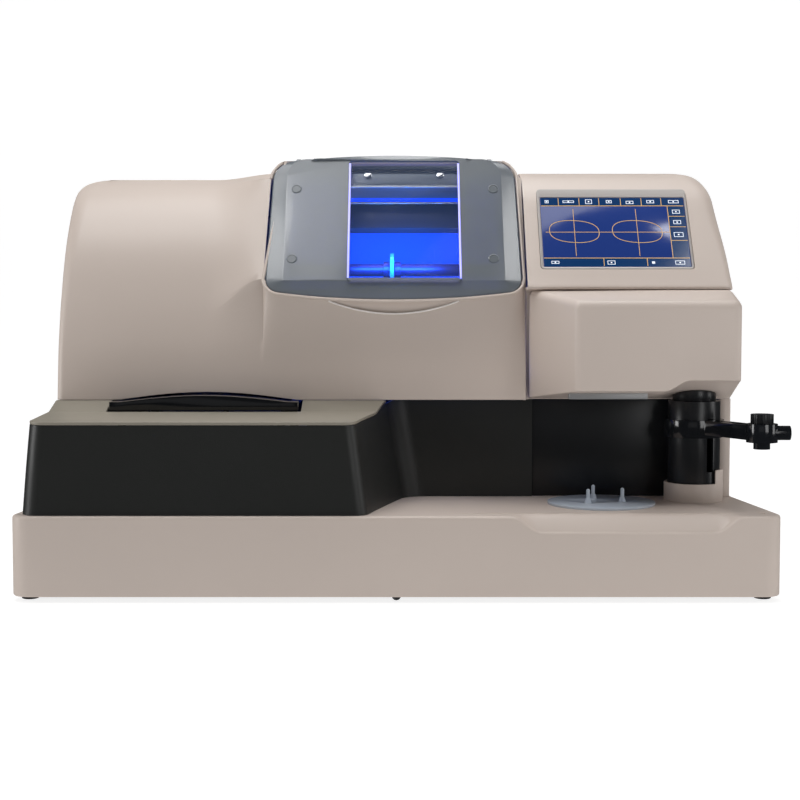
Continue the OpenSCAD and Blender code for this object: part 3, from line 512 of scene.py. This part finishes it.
DECK_BACK, BAY_FRONT, BAY_R = -112, -148, 4
BAY_LEFT, BAY_RIGHT = TRACER_X - BAY_HALF, TRACER_X + BAY_HALF
left_deck = [p for p in deck_outline if p[1] < DECK_BACK and p[0] < 0]
bay = [(BAY_RIGHT, DECK_BACK), (BAY_RIGHT, BAY_FRONT)]
bay += arc(BAY_RIGHT - BAY_R, BAY_FRONT, BAY_R, 0, -90, 4)
bay += arc(BAY_LEFT + BAY_R, BAY_FRONT, BAY_R, -90, -180, 4) + [(BAY_LEFT, DECK_BACK)]
deck_plan = [(-351.8, DECK_BACK)] + left_deck + [(-12.4, DECK_BACK)] + bay
# The deck takes the taupe of painted sheen, not the housing's charcoal.
deck = sheet(deck_plan, lambda x, y: deck_level(y),
             [("y", y) for y in (-230, -156, -153, -150, -147, -144, -125, -121, -119.5)],
             "tracer_top", SHEEN_TAUPE, 1)
finish(deck, "root", ["tracer_deck"], thickness=WALL, edge=1.1, angle=50)

# ---- Main cover and hood -------------------------------------------------------------------

LID_X, LID_Y, LID_Z = -3, -128, 281
LID_SLOPE = math.radians(57.3)
LID_HALF = 133
RIM = 2.3


def on_lid(x, t, h=0.0):
    """Point x along the hinge, t up the slope and h out of the lid."""
    return (LID_X + x, LID_Y + t * math.cos(LID_SLOPE) - h * math.sin(LID_SLOPE),
            LID_Z + t * math.sin(LID_SLOPE) + h * math.cos(LID_SLOPE))


def lid_low(x):
    x = min(abs(x), LID_HALF)
    corner = 14 * (1 - math.sqrt(max(1 - (max(x - 119, 0) / 14) ** 2, 0)))
    return 10.4 + 9 * (x / 120) ** 2 + corner


def lid_high(x):
    x = min(abs(x), LID_HALF)
    corner = 20 * (1 - math.sqrt(max(1 - (max(x - 112, 0) / 21) ** 2, 0)))
    return 196 - 8 * (x / 112) ** 2 - corner


def lid_outline(grow=0.0):
    """Outline of the lid, bowed at the top and bottom and narrower at the top."""
    xs = [-LID_HALF * math.cos(math.pi * i / 48) for i in range(49)]
    points = [(x, lid_low(x)) for x in xs] + [(x, lid_high(x)) for x in reversed(xs)]
    points = [(x * (1 - 0.024 * (t - 32) / 140), t) for x, t in points]
    return inset(points, -grow)


body_curve = spline([(-118, 186), (-112.5, 225), (-107, 252), (-97, 289), (-82, 330), (-64, 362),
                     (-36, 394), (0, 414), (35, BODY_TOP)], 10)
CREST_Y, SHOULDER_Y = 35, 75
NECK_Z = 225

# Rows of the front surface, from the lower edge up to the shoulder and back to the rear cover
FRONT_ROWS, NECK_ROWS, LIP_ROWS, LID_ROWS = 6, 9, 5, 14
BACK_ROWS, SHOULDER_ROWS, RIDGE_ROWS = 6, 4, 4


def part(curve, z0, z1):
    inside = [p for p in curve if z0 < p[1] < z1]
    return [cross(curve, z0)] + inside + [cross(curve, z1)]


def cross(curve, z):
    for p, q in zip(curve, curve[1:]):
        if p[1] <= z <= q[1]:
            return mix(p, q, (z - p[1]) / (q[1] - p[1]))
    return curve[-1]


body_rows = (spread(part(body_curve, BODY_BOTTOM, NECK_Z), FRONT_ROWS)[:-1]
             + spread(part(body_curve, NECK_Z, 276), NECK_ROWS)[:-1]
             + spread(part(body_curve, 276, 284), LIP_ROWS)[:-1]
             + spread(part(body_curve, 284, 412), LID_ROWS)[:-1]
             + spread(part(body_curve, 412, BODY_TOP), BACK_ROWS)
             + line((CREST_Y, BODY_TOP), (SHOULDER_Y, BODY_TOP), SHOULDER_ROWS)[1:]
             + line((SHOULDER_Y, BODY_TOP), (SPLIT_Y, BODY_TOP), RIDGE_ROWS)[1:])
LID_FIRST = FRONT_ROWS + NECK_ROWS + LIP_ROWS
TOP_ROW = LID_FIRST + LID_ROWS + BACK_ROWS
RIM_OUTLINE = lid_outline(RIM)
RECESS_HALF = 72


def bezier(a, b, c, d, n):
    """n + 1 points of a cubic curve from a to d."""
    return [tuple((1 - t) ** 3 * p + 3 * t * (1 - t) ** 2 * q + 3 * t * t * (1 - t) * r + t ** 3 * s
                  for p, q, r, s in zip(a, b, c, d)) for t in [k / n for k in range(n + 1)]]


def hood_column(i):
    """Column i of the hood, row for row with body_rows, as points. It goes up the front to the
    lid's outline, across the opening, and from the hinge trough to the top of the casing."""
    count = len(RIM_OUTLINE) // 2
    (x_low, t_low), (x_high, t_high) = RIM_OUTLINE[i], RIM_OUTLINE[2 * count - 1 - i]
    low, high = on_lid(x_low, t_low, -0.5)[1:], on_lid(x_high, t_high, -0.5)[1:]
    recess = max(1 - (x_low / RECESS_HALF) ** 2, 0)
    neck = bezier((-112.5, NECK_Z), (-110.2, 246), (low[0] + 5.5, low[1] - 20), low, 30)
    lip = cross(neck, low[1] - 0.6 - 12.5 * recess)
    deep = [lip, (lip[0] + 2.8 * recess, lip[1] + 0.5 * recess + 0.1)]
    deep += [(p[0] + 3.6 * recess * f, p[1]) for p, f in
             ((mix(lip, low, 0.3), 1.0), (mix(lip, low, 0.55), 0.95), (mix(lip, low, 0.8), 0.6))]
    back = mix(high, (4.9, 442.2), ease(min(i, count - 1 - i) / 8))
    crest = spline([back, (30, 0.4 * back[1] + 0.6 * 438), (SHOULDER_Y, BODY_TOP)], 10)
    rows = (spread(part(body_curve, BODY_BOTTOM, NECK_Z), FRONT_ROWS)[:-1]
            + spread(part(neck, NECK_Z, lip[1]), NECK_ROWS)[:-1]
            + deep + spread([low, high], LID_ROWS)[:-1] + spread(crest, BACK_ROWS + SHOULDER_ROWS)
            + line((SHOULDER_Y, BODY_TOP), (SPLIT_Y, BODY_TOP), RIDGE_ROWS)[1:])
    xs = [x_low + LID_X] * LID_FIRST
    xs += [LID_X + x_low + (x_high - x_low) * k / LID_ROWS for k in range(LID_ROWS)]
    xs += [LID_X + x_high] * (len(rows) - len(xs))
    return [(x, y, z) for x, (y, z) in zip(xs, rows)]


def jaw_arch(x):
    """Level of the main cover's lower edge, which arches over the tracer's jaws."""
    t = (x - TRACER_X) / 92
    return BODY_BOTTOM + (8.2 * math.cos(math.pi * t / 2) if abs(t) < 1 else 0)


def arched(point, k):
    """The point of row k with the arch over the jaws in the lower rows."""
    x, y, z = point
    if k < FRONT_ROWS:
        low = jaw_arch(x)
        z = low + (z - BODY_BOTTOM) * (NECK_Z - low) / (NECK_Z - BODY_BOTTOM)
    return (x, y, z)


def left_inset(z):
    """How far the casing's left end is rounded in at level z."""
    rise = min(max((z - (BODY_TOP - END_R)) / END_R, 0), 1)
    return END_R * (1 - math.sqrt(1 - rise * rise))


FLAT_XS = [-322, -310, -297] + [-285 + 10 * i for i in range(9)]
BLEND_FROM, BLEND_STEPS = -200, 14
hood_columns = [hood_column(i) for i in range(len(RIM_OUTLINE) // 2)]
cover = Skin()
cover_rows = []
for k, (y, z) in enumerate(body_rows):
    row = []
    if k <= TOP_ROW:
        left = BODY_LEFT + left_inset(z)
        r = 8 + 12 * ease((z - 230) / 190)
        side = line((left, SPLIT_Y), (left, y + r), 6)
        corner = arc(left + r, y + r, r, 180, 270, 8)[1:]
        row = [(a, b, z) for a, b in side + corner] + [arched((x, y, z), k) for x in FLAT_XS]
    first, last = hood_columns[0][k], hood_columns[-1][k]
    for step in range(BLEND_STEPS):
        f = step / BLEND_STEPS
        x = BLEND_FROM + f * (first[0] - BLEND_FROM)
        row.append(arched((x, *mix((y, z), first[1:], ease(f))), k))
    row += [arched(column[k], k) for column in hood_columns]
    row += [(SEAM_X - 0.5, last[1] + 0.15, last[2] - 0.1),
            (SEAM_X - 0.2, last[1] + 0.8, last[2] - 0.5)]
    cover_rows.append(cover.row(row))
tail = BLEND_STEPS + len(hood_columns) + 2
for k, (a, b) in enumerate(zip(cover_rows, cover_rows[1:])):
    a, b = a[-len(b):], b[-len(a):]
    if LID_FIRST <= k < LID_FIRST + LID_ROWS:
        west = len(a) - 2 - len(hood_columns)
        cover.strip(a[:west + 1], b[:west + 1])
        cover.strip(a[-3:], b[-3:])
    else:
        cover.strip(a, b)
border = [r[0] for r in cover_rows[TOP_ROW + 1:]]
cover.fill([cover_rows[TOP_ROW][:-tail + 1] + border])
finish(mesh_object("casing_front", cover, BEIGE, (-60, 60, 250)), "root",
       ["main_cover", "hood_frame"], thickness=WALL, angle=34)

TROUGH_R = 17.9
trough = Skin()
trough.loft([[(x, y, z) for y, z in arc(HINGE_Y, HINGE_Z, TROUGH_R, 20, -130, 15)]
             for x in (-119, -60, 60, 113)])
finish(mesh_object("hinge_trough", trough, BEIGE, (0, 200, 300)), "root",
       thickness=1.5, angle=40)

# The rim runs round the lid, and stops short of the knuckles at the top
rim = Skin()
half = len(RIM_OUTLINE) // 2
rim_path = list(reversed(RIM_OUTLINE[-12:])) + RIM_OUTLINE[:half + 12]
rim_path = [p for p in rim_path if p[1] < 150 or abs(p[0]) > 113]
rim.tube([on_lid(x, t, -0.9) for x, t in rim_path], 1.7, 8)
finish(mesh_object("lid_rim", rim, BEIGE), "root")

# Bead along the scoop's lower edge, in a pale colour that is painted highlight.
bead = Skin()
bead.tube([(x, y - 0.5, z + 0.2) for x, y, z in (column[FRONT_ROWS + NECK_ROWS]
           for column in hood_columns) if abs(x - LID_X) < RECESS_HALF], 0.9, 8)
finish(mesh_object("recess_bead", bead, HIGHLIGHT_BEAD), "root", angle=60)

# ---- Lid -----------------------------------------------------------------------------------

WINDOW = (-48.5, 70.5, 29, 186)
PANEL_LEFT, PANEL_RIGHT, PANEL_LOW, PANEL_HIGH, PANEL_RISE = -114, 115, 31, 188, 3.6


def panel_point(x, t):
    """Where the flat panel's border meets the bevel, for a point of the lid's outline."""
    px = min(max(x * 0.885, PANEL_LEFT), PANEL_RIGHT)
    return (px, min(max(t, PANEL_LOW), PANEL_HIGH))


def toward(point, f):
    return mix(point, panel_point(*point), f)


lid = Skin()
lid_rows = [[on_lid(x, t, h) for x, t in (toward(p, f) for p in lid_outline())] for f, h in (
    (0.02, -4), (0.0, -2.6), (0.0, -1.2), (0.03, -0.3), (0.08, 0.2), (0.5, 1.7), (0.94, 3.35),
    (1.0, PANEL_RISE))]
lid.loft(lid_rows, True)
window_ring = rounded(*WINDOW, 4)
inner = lid.row([on_lid(x, t, PANEL_RISE) for x, t in window_ring])
outer = lid.row(lid_rows[-1])
lid.fill([outer, inner])
finish(mesh_object("lid_shell", lid, SMOKE, on_lid(0, 100, -120)), "lid",
       ["chamber_lid"], thickness=3.2, angle=14)



def on_hinge(a, b, x):
    """Point x along the hinge, a behind and b above its axis."""
    return (x, HINGE_Y + a, HINGE_Z + b)


KNUCKLE_X, PIN_HALF = 97, 15
hinge = Skin()
pins = Skin()
for side in (-KNUCKLE_X, KNUCKLE_X):
    middle = LID_X + side
    for x in (middle - 7, middle + 7):
        hinge.turn([(6, x - 2.5), (6.5, x - 2), (6.5, x + 2), (6, x + 2.5)], on_hinge, 28)
    hinge.prism(rounded(side - 9.5, side + 9.5, 177, 186.5, 1.5), on_lid, -15, -1)
    pins.turn([(0.2, middle - PIN_HALF), (2.6, middle - PIN_HALF), (3, middle - PIN_HALF + 0.4),
               (3, middle + PIN_HALF - 0.4), (2.6, middle + PIN_HALF), (0.2, middle + PIN_HALF)],
              on_hinge, 24)
finish(mesh_object("hinge_pin_pair", pins, BRIGHT), "root", ["hinge_pins"],
       angle=40)
finish(mesh_object("lid_knuckles", hinge, SMOKE), "lid", angle=40)

glass = Skin()
glass.prism(inset(window_ring, 0.3), on_lid, 0.4, 2.6)
finish(mesh_object("lid_pane", glass, CLEAR), "lid", ["lid_window"], edge=0.5)

frame_bars = Skin()
for x in (WINDOW[0] + 1.2, WINDOW[1] - 1.2):
    frame_bars.tube([on_lid(x, t, 3.2) for t in (WINDOW[2] + 5, 70, 120, WINDOW[3] - 4)], 1.1, 8)
frame_bars.tube([on_lid(x, WINDOW[2] + 1.2, 3.0) for x in (WINDOW[0] + 4, 0, WINDOW[1] - 4)], 1, 8)
finish(mesh_object("lid_pane_edge", frame_bars, LILAC), "lid", angle=60)

bosses = Skin()
for x, t in ((-104, 148), (106, 148), (-106, 58), (104, 58)):
    bosses.turn([(5.6, 3.2), (5.6, 3.9), (5.2, 4.2), (4.6, 4.2), (4.3, 3.7)],
                lambda a, b, h, x=x, t=t: on_lid(x + a, t + b, h), 32)
finish(mesh_object("lid_bosses", bosses, SMOKE), "lid", angle=50)

# ---- Rear cover ----------------------------------------------------------------------------

REAR_R = 50
curve = ([(SPLIT_Y + 0.3, BODY_TOP), (150, BODY_TOP)]
         + arc(REAR_Y - REAR_R, BODY_TOP - REAR_R, REAR_R, 90, 0, 14)
         + [(REAR_Y, 300), (REAR_Y, BODY_BOTTOM)])
# The rounded ends, as (distance in from the end, depth below the surface)
end_round = [(END_R * (1 - math.sin(math.radians(a))), END_R * (1 - math.cos(math.radians(a))))
             for a in QUARTER]
rear = Skin()
rows = []
for i, (y, z) in enumerate(curve):
    before, after = curve[max(i - 1, 0)], curve[min(i + 1, len(curve) - 1)]
    along = Vector((after[0] - before[0], after[1] - before[1])).normalized()
    normal = (-along.y, along.x)
    sunk = [(inward, y - normal[0] * drop, z - normal[1] * drop) for inward, drop in end_round]
    rows.append([(BODY_LEFT + inward, a, b) for inward, a, b in reversed(sunk)]
                + [(x, y, z) for x in range(-250, 251, 100)]
                + [(BODY_RIGHT - inward, a, b) for inward, a, b in sunk])
rings = rear.loft(rows)
for end in (0, -1):
    corner = rear.row([(rows[0][end][0], SPLIT_Y + 0.3, BODY_BOTTOM)])
    rear.fill([[r[end] for r in rings] + corner])
flange = Skin()
frame_edge = ([(BODY_LEFT, BODY_BOTTOM)] + [(x, z) for x, _, z in rows[0]]
              + [(BODY_RIGHT, BODY_BOTTOM)])
flange.loft([[(x * f, SPLIT_Y + 0.4, BODY_BOTTOM + (z - BODY_BOTTOM) * f) for x, z in frame_edge]
             for f in (0.997, 0.94)])
finish(mesh_object("rear_flange", flange, BEIGE, (0, 300, 300)), "root",
       thickness=1.5, angle=40)
FAN_X, FAN_Z, FAN_R, FAN_PITCH = 240, 310, 50.99, 11
vent_plans = []
for k in range(-4, 5):
    z = FAN_Z + k * FAN_PITCH
    half = math.sqrt(FAN_R ** 2 - (k * FAN_PITCH) ** 2)
    vent_plans.append(rounded(FAN_X - half, FAN_X + half, z - 2.5, z + 2.5, 2))
for x in range(-300, -179, 24):
    vent_plans.append(rounded(x, x + 8, 220, 300, 3))
vents = Skin()
for plan in vent_plans:
    vents.prism(plan, lambda u, v, w: (u, w, v), 200, 250)
finish(mesh_object("casing_rear", rear, BEIGE, (0, 150, 300)), "root",
       ["rear_cover"], thickness=WALL, cuts=[cutter(vents)], angle=36)

# ---- Console and head ----------------------------------------------------------------------

SCREEN_X, SCREEN_Y, SCREEN_Z = 228.4, -113, 324
SCREEN_SLOPE = math.radians(54.7)
SCREEN_W, SCREEN_H = 152.4, 91.4


def on_screen(x, t, h=0.0):
    """Point x to the right, t up the slope and h out of the screen."""
    return (SCREEN_X + x, SCREEN_Y + t * math.cos(SCREEN_SLOPE) - h * math.sin(SCREEN_SLOPE),
            SCREEN_Z + t * math.sin(SCREEN_SLOPE) + h * math.cos(SCREEN_SLOPE))


def console_right(z):
    """Right edge of the console at level z, leaning in towards a rounded shoulder."""
    lean = 1.2 + 5.2 * ease((z - 240) / 90) + 6 * ease((z - 320) / 80)
    rise = min(max((z - 388) / 40, 0), 1)  # 0 below the shoulder, 1 at the top
    return BODY_RIGHT - lean - 24 * (1 - math.sqrt(1 - rise * rise))


console_front = ([(-105, 186), (-105, 240), (-105, 294), (-106, 297.4), (-110, 298.6),
                  (-125.5, 299.2), (-128.2, 300.2), (-128.4, 302.2), (-127, 304.6)]
                 + line((-126.2, 305.5), (-64, 393.3), 10)
                 + spline([(-62, 396.1), (-48, 408), (-24, 421.6), (0, 428)], 5)[1:])
console = Skin()
rows = []
for y, z in console_front:
    right = console_right(z)
    r = 6 if z < 299 else 6 + 10 * ease((z - 300) / 120)
    front = [(134.2, y + 0.8, z - 0.4), (134.5, y + 0.15, z - 0.1)]
    front += [(x, y, z) for x in [136] + [150 + 12.5 * i for i in range(12)] + [right - r]]
    corner = [(a, b, z) for a, b in arc(right - r, y + r, r, 270, 360, 8)[1:]]
    side = [(right, b, z) for _, b in line((0, y + r), (0, SPLIT_Y), 6)[1:]]
    rows.append(front + corner + side)
top = console.loft(rows)[-1]
console.fill([top + console.row([(134.2, SPLIT_Y, 427.6)])])
recess = Skin()
recess.prism(rounded(-SCREEN_W / 2 - 4, SCREEN_W / 2 + 3, -4.5, SCREEN_H + 11, 4), on_screen,
             -1.7, 12)
opening = Skin()
opening.prism(rounded(-SCREEN_W / 2 - 0.6, SCREEN_W / 2 + 0.6, -0.6, SCREEN_H + 0.6, 1.5),
              on_screen, -14, 12)
finish(mesh_object("console_casing", console, BEIGE, (240, 40, 300)), "root",
       ["console_cover"], thickness=WALL, cuts=[cutter(recess), cutter(opening)], angle=34)

flank = Skin()
flank.loft([[(336.3, FLANK_Y, z), (337, -104, z), (339, -105, z), (344, -105, z), (347.4, -104, z),
             (348.8, -101, z), (349.5, -90, z), (349.5, 0, z), (349.5, SPLIT_Y, z)]
            for z in (BASE_TOP + 0.2, 120, 160, 185.8)])
finish(mesh_object("flank_casing", flank, BEIGE, (300, 0, 130)), "root",
       thickness=3)

HEAD_EDGE, HEAD_FRONT = 8, -200
head_outline = (line((137.5, -106), (137.5, -117), 1) + arc(181, -192, 8, 205, 270, 6)
                + line((200, HEAD_FRONT), (262, HEAD_FRONT), 3)
                + [(x, HEAD_FRONT) for x in (*range(264, 290, 2), 292, 305, 318)]
                + arc(329, -190, 10, 270, 350, 6) + line((340.5, -178), (347.3, -106), 5))


def head_top(y):
    return 289 + (min(y, -127.4) + 190) * 0.171


def head_bottom(x, y):
    plain = 186.6 + (-105 - y) * 0.1347
    step = ease((x - 263) / 25) * 10.5 * min(max((-105 - y) / 80, 0), 1)
    return plain + step


head = Skin()
rows = [[(x, y, head_bottom(x, y) + dz) for x, y in inset(head_outline, d)]
        for d, dz in ((1.2, 0), (0.35, 0.35), (0, 1.2))]
for a in QUARTER:
    sine, cosine = math.sin(math.radians(a)), math.cos(math.radians(a))
    ring = inset(head_outline, HEAD_EDGE * (1 - cosine))
    rows.append([(x, y, head_top(y) - HEAD_EDGE * (1 - sine)) for x, y in ring])
rows = [[(x, min(y, -106.2), z) for x, y, z in row] for row in rows]
rings = head.loft(rows, True)
head.fill([rings[-1]])
head_piece = mesh_object("head_casing", head, BEIGE, (240, -150, 240))
floor_plan = [(x, y) for x, y, _ in rows[0]]
underside = sheet(floor_plan, head_bottom,
                  [("x", x) for x in range(262, 292, 2)] + [("y", -185)],
                  "head_floor", BEIGE, -1)
camera_hole = Skin()
camera_hole.turn([(12, 170), (12, 215)], lambda x, y, z: (DISC_X + x, DISC_Y + y, z), 40)
finish(underside, "root", thickness=2.4, cuts=[cutter(camera_hole)], angle=30)
finish(head_piece, "root", ["head_cover"], thickness=2.6, angle=38)

# ---- Display -------------------------------------------------------------------------------

pane = Skin()
bezel = Skin()
ring_out = rounded(-SCREEN_W / 2 - 3.6, SCREEN_W / 2 + 2.6, -4.2, SCREEN_H + 10.6, 4)
ring_in = rounded(-SCREEN_W / 2 - 0.4, SCREEN_W / 2 + 0.4, -0.4, SCREEN_H + 0.6, 1.2)
bezel.loft([[on_screen(x, t, h) for x, t in ring] for ring, h in (
    (ring_out, -1.5), (inset(ring_out, 0.4), -0.3), (inset(ring_out, 1.2), -0.1),
    (ring_in, -1.4), (ring_in, -2.4))], True)
finish(mesh_object("display_bezel", bezel, BEZEL), "root", angle=40)
pane.prism(rounded(-SCREEN_W / 2, SCREEN_W / 2, 0, SCREEN_H, 1), on_screen, -6, -1.9)
finish(mesh_object("display_panel", pane, CANVAS), "root", ["lcd_panel", "touch_glass"],
       edge=0.2)


def tiles(name, material, boxes, level):
    """Flat marks on the display, each (left, right, low, high) from its lower left corner."""
    skin = Skin()
    for x0, x1, t0, t1 in boxes:
        skin.prism([(x0 - SCREEN_W / 2, t0), (x1 - SCREEN_W / 2, t0), (x1 - SCREEN_W / 2, t1),
                    (x0 - SCREEN_W / 2, t1)], on_screen, -1.9, level)
    finish(mesh_object(name, skin, material), "root", angle=30)


BAR_T, FOOT_T, COLUMN_T = 80, 11, 134
tiles("display_bars", NAVY, [(0.6, 151.8, BAR_T, 91), (0.6, 151.8, 0.4, FOOT_T),
                             (COLUMN_T, 151.8, FOOT_T, BAR_T)], -1.8)
tiles("display_lines", ORANGE,
      [(0.6, 151.8, BAR_T, BAR_T + 0.7), (0.6, 151.8, FOOT_T, FOOT_T + 0.7),
       (COLUMN_T, COLUMN_T + 0.6, FOOT_T, BAR_T), (4, COLUMN_T, 45, 45.5)]
      + [(x, x + 0.6, BAR_T, 91) for x in (19, 41, 62, 85, 107, 128)]
      + [(x, x + 0.6, 1, FOOT_T) for x in (62, 107)]
      + [(x, x + 0.5, 14, 76) for x in (34, 100)]
      + [(COLUMN_T, 151.8, z, z + 0.6) for z in (34, 52, 66)], -1.72)
icons = [(5, 9, 84, 88), (24, 36, 84.5, 87.5), (48, 55, 83, 89), (70, 76, 84, 88), (91, 99, 83, 87),
         (113, 121, 84, 88), (136, 147, 84, 88), (139, 147, 70, 75), (139, 147, 56, 61),
         (138, 148, 39, 45), (8, 16, 4, 7.5), (66, 74, 3, 8), (112, 115, 4, 7), (136, 146, 3, 8)]
hollow = []
for x0, x1, t0, t1 in icons:
    hollow += [(x0, x1, t0, t0 + 0.6), (x0, x1, t1 - 0.6, t1), (x0, x0 + 0.6, t0, t1),
               (x1 - 0.6, x1, t0, t1),
               ((x0 + x1) / 2 - 0.8, (x0 + x1) / 2 + 0.8, (t0 + t1) / 2 - 0.8, (t0 + t1) / 2 + 0.8)]
tiles("display_icons", PALE, hollow, -1.7)
outlines = Skin()
for middle, flip in ((34, 1), (100, -1)):
    ring = []
    for i in range(48):
        a = 2 * math.pi * i / 48
        w = 26 * (abs(math.cos(a)) ** 0.9) * (1 if math.cos(a) > 0 else -1)
        hgt = 14.5 * (abs(math.sin(a)) ** 0.8) * (1 if math.sin(a) > 0 else -1)
        ring.append(on_screen(middle + flip * w - SCREEN_W / 2, 46 + hgt - 0.05 * flip * w, -1.75))
    outlines.tube(ring, 0.32, 6, True)
finish(mesh_object("display_outlines", outlines, ORANGE), "root", angle=80)

# ---- Chamber -------------------------------------------------------------------------------

HEADER_LEFT, HEADER_RIGHT = -56, 78
header = Skin()
header.prism(rounded(HEADER_LEFT, HEADER_RIGHT, 161, 187, 1.2), on_lid, -9, -6.5)
header.prism(rounded(HEADER_LEFT, HEADER_RIGHT, 157.6, 161, 1), on_lid, -26, -6.5)
finish(mesh_object("header_bracket", header, PANEL), "root", ["chamber_header"],
       edge=0.5)
screws = Skin()
for x in (-28, 50):
    screws.turn([(3.6, -6.4), (3.4, -5.6), (2.6, -4.9), (1.2, -4.9), (1.1, -5.7), (0.2, -5.7)],
                lambda a, b, h, x=x: on_lid(x + a, 173 + b, h), 24)
finish(mesh_object("header_screws", screws, BRIGHT), "root", angle=30)
lip = Skin()
for t, h, r in ((158, -6.6, 0.8), (142, -14, 0.7)):
    lip.tube([on_lid(x, t, h) for x in (HEADER_LEFT + 1, 0, HEADER_RIGHT - 1)], r, 8)
finish(mesh_object("header_lip", lip, BRUSHED), "root", angle=60)
shroud = Skin()
shroud.prism(rounded(HEADER_LEFT, HEADER_RIGHT, 121, 156, 1), on_lid, -40, -30)
finish(mesh_object("chamber_shroud", shroud, DARK_METAL), "root", edge=0.5)

# ---- CAD parts with a finer edge or a better material --------------------------------------

for node, material, slot, edge in (
        ("front_jaw", GLOSS, "gloss_black", 0.9),
        ("rear_jaw", GLOSS, "gloss_black", 0.9),
        ("column_ring", BEIGE, "cover_beige", 1.0),
        ("column_sleeve", BLACK, "black_plastic", 0.8),
        ("swing_arm", GLOSS, "gloss_black", 1.0),
        ("holder_knob", BLACK, "black_plastic", 0.25),
        ("column_post", BLACK, "black_plastic", 0.5),
        ("lens_disc", FROST, "clear_plastic", 0.4),
        ("bay_panel", BLACK, "black_plastic", 0.5),
        ("lower_skirt", CHARCOAL, "charcoal_plastic", 0.6),
        ("power_inlet", BLACK, "black_plastic", 0.4),
        ("rocker_switch", GLOSS, "gloss_black", 0.4),
        ("water_spigots", BRIGHT, "bright_steel", 0.4),
        ("head_light_bar", ALLOY, "cast_alloy", 0.4),
        ("centring_camera", BLACK, "black_plastic", 0.5),
        # Shafts and quill take the steel with painted shade.
        ("left_shaft", SHADED_STEEL, "bright_steel", 0.4),
        ("right_shaft", SHADED_STEEL, "bright_steel", 0.4),
        ("clamp_quill", SHADED_STEEL, "bright_steel", 0.4),
        ("grinding_wheels", BRONZE, "wheel_bronze", 0.5),
        ("lens", LENS_PAINTED_GLOW, "lens_glass", 0.5),
        ("stylus", GLOSS, "gloss_black", 0.4),
        ("stylus_slider", ALLOY, "cast_alloy", 0.5),
        ("tracer_turntable", BRUSHED, "brushed_steel", 0.5),
        ("corner_feet", RUBBER, "rubber", 0.6),
        ("spindle", BRIGHT, "bright_steel", 0.3),
        ("cover_screws", BRIGHT, "bright_steel", 0.2),
        ("fan_frame", BLACK, "black_plastic", 0.6),
        ("fan_rotor", BLACK, "black_plastic", 0.3)):
    soften(node, material, edge)

PLAIN = {
    "chassis_plate": SHEET, "levelling_foot": BRIGHT, "machine_frame": ALLOY,
    "tracer_frame": ALLOY, "jaw_rods": BRIGHT, "tracer_motor": ALLOY, "control_board": BOARD,
    # The chamber tub gets the lining with painted LED glow.
    "power_supply": SHEET, "chamber_tub": LINING_PAINTED_GLOW, "chamber_led_strip": LAMP_BLUE,
    "water_jets": BRUSHED, "lid_seal": RUBBER, "lens_carriage": ALLOY,
    "spindle_bearings": BRUSHED, "drive_belt": RUBBER, "spindle_motor": ALLOY,
    "motor_rotor": BRIGHT, "disc_lamp": LAMP_PALE,
}
for node, material in PLAIN.items():
    mesh_slots = frame["nodes"][node].data.materials
    for i in range(len(mesh_slots)):
        mesh_slots[i] = material

# ---- Floor, lights and camera --------------------------------------------------------------

WHITE = look("studio_white", (0.3, 0.3, 0.3), 0.8, vary=0.005, glow=(1, 1, 1), power=0.83)
SWEEP_Y, SWEEP_R = 1500, 900
ground = Skin()
swing = [(-2600, 0), (0, 0)] + arc(SWEEP_Y, SWEEP_R, SWEEP_R, -90, 0, 10)
ground.loft([[(x, y, z) for x in (-5000, 0, 5000)] for y, z in swing + [(2400, 4000)]])
floor = mesh_object("floor", ground, WHITE)
shade(floor, 60)
floor.visible_glossy = False

world = bpy.data.worlds.new("studio")
bpy.context.scene.world = world
world.use_nodes = True
world.node_tree.nodes["Background"].inputs["Color"].default_value = (1, 1, 1, 1)
world.node_tree.nodes["Background"].inputs["Strength"].default_value = 0.04


def softbox(name, place, target, size, power, colour=(1, 1, 1)):
    data = bpy.data.lights.new(name, "AREA")
    data.shape, data.size, data.size_y = "RECTANGLE", size[0], size[1]
    data.energy, data.color = power, colour
    obj = bpy.data.objects.new(name, data)
    bpy.context.scene.collection.objects.link(obj)
    obj.location = place
    obj.rotation_euler = (Vector(target) - Vector(place)).to_track_quat("-Z", "Y").to_euler()
    return obj


softbox("overhead", (-0.1, 0.1, 1.9), (0, 0, 0.3), (1.8, 1.2), 28)
softbox("left_window", (-2.1, -0.5, 0.5), (0.1, -0.15, 0.25), (0.6, 1.0), 12)
softbox("right_window", (2.1, -0.5, 0.5), (0.1, -0.15, 0.25), (0.6, 1.0), 5)
softbox("front_fill", (-0.4, -2.6, 0.5), (0, 0, 0.1), (1.6, 0.6), 0.5)
softbox("left_bevel_card", (-0.72, -0.62, 1.9), (-0.1, -0.1, 0.4), (0.3, 0.3), 3.5)
softbox("right_bevel_card", (0.80, -0.62, 1.9), (0.1, -0.1, 0.4), (0.3, 0.3), 3.5)
softbox("bay_card", (0.62, -0.9, 0.3), (-0.1, -0.2, 0.12), (0.3, 0.3), 0.9)
softbox("chamber_lamp", at((0, -78, 330)), at((0, 10, 300)), (0.1, 0.02), 0.5, (0.02, 0.2, 1.0))

# Focal length over picture width, sensor width in millimetres, and the tilt down in degrees
FOCAL_RATIO, SENSOR, TILT = 1.875, 36, 3.6
camera_data = bpy.data.cameras.new("camera")
camera_data.sensor_width = SENSOR
camera_data.lens = FOCAL_RATIO * SENSOR
camera = bpy.data.objects.new("camera", camera_data)
bpy.context.scene.collection.objects.link(camera)
camera.location = at((3.5, -1665, 283))
camera.rotation_euler = (math.radians(90 - TILT), 0, 0)
bpy.context.scene.camera = camera
bpy.context.scene.view_settings.view_transform = "Standard"
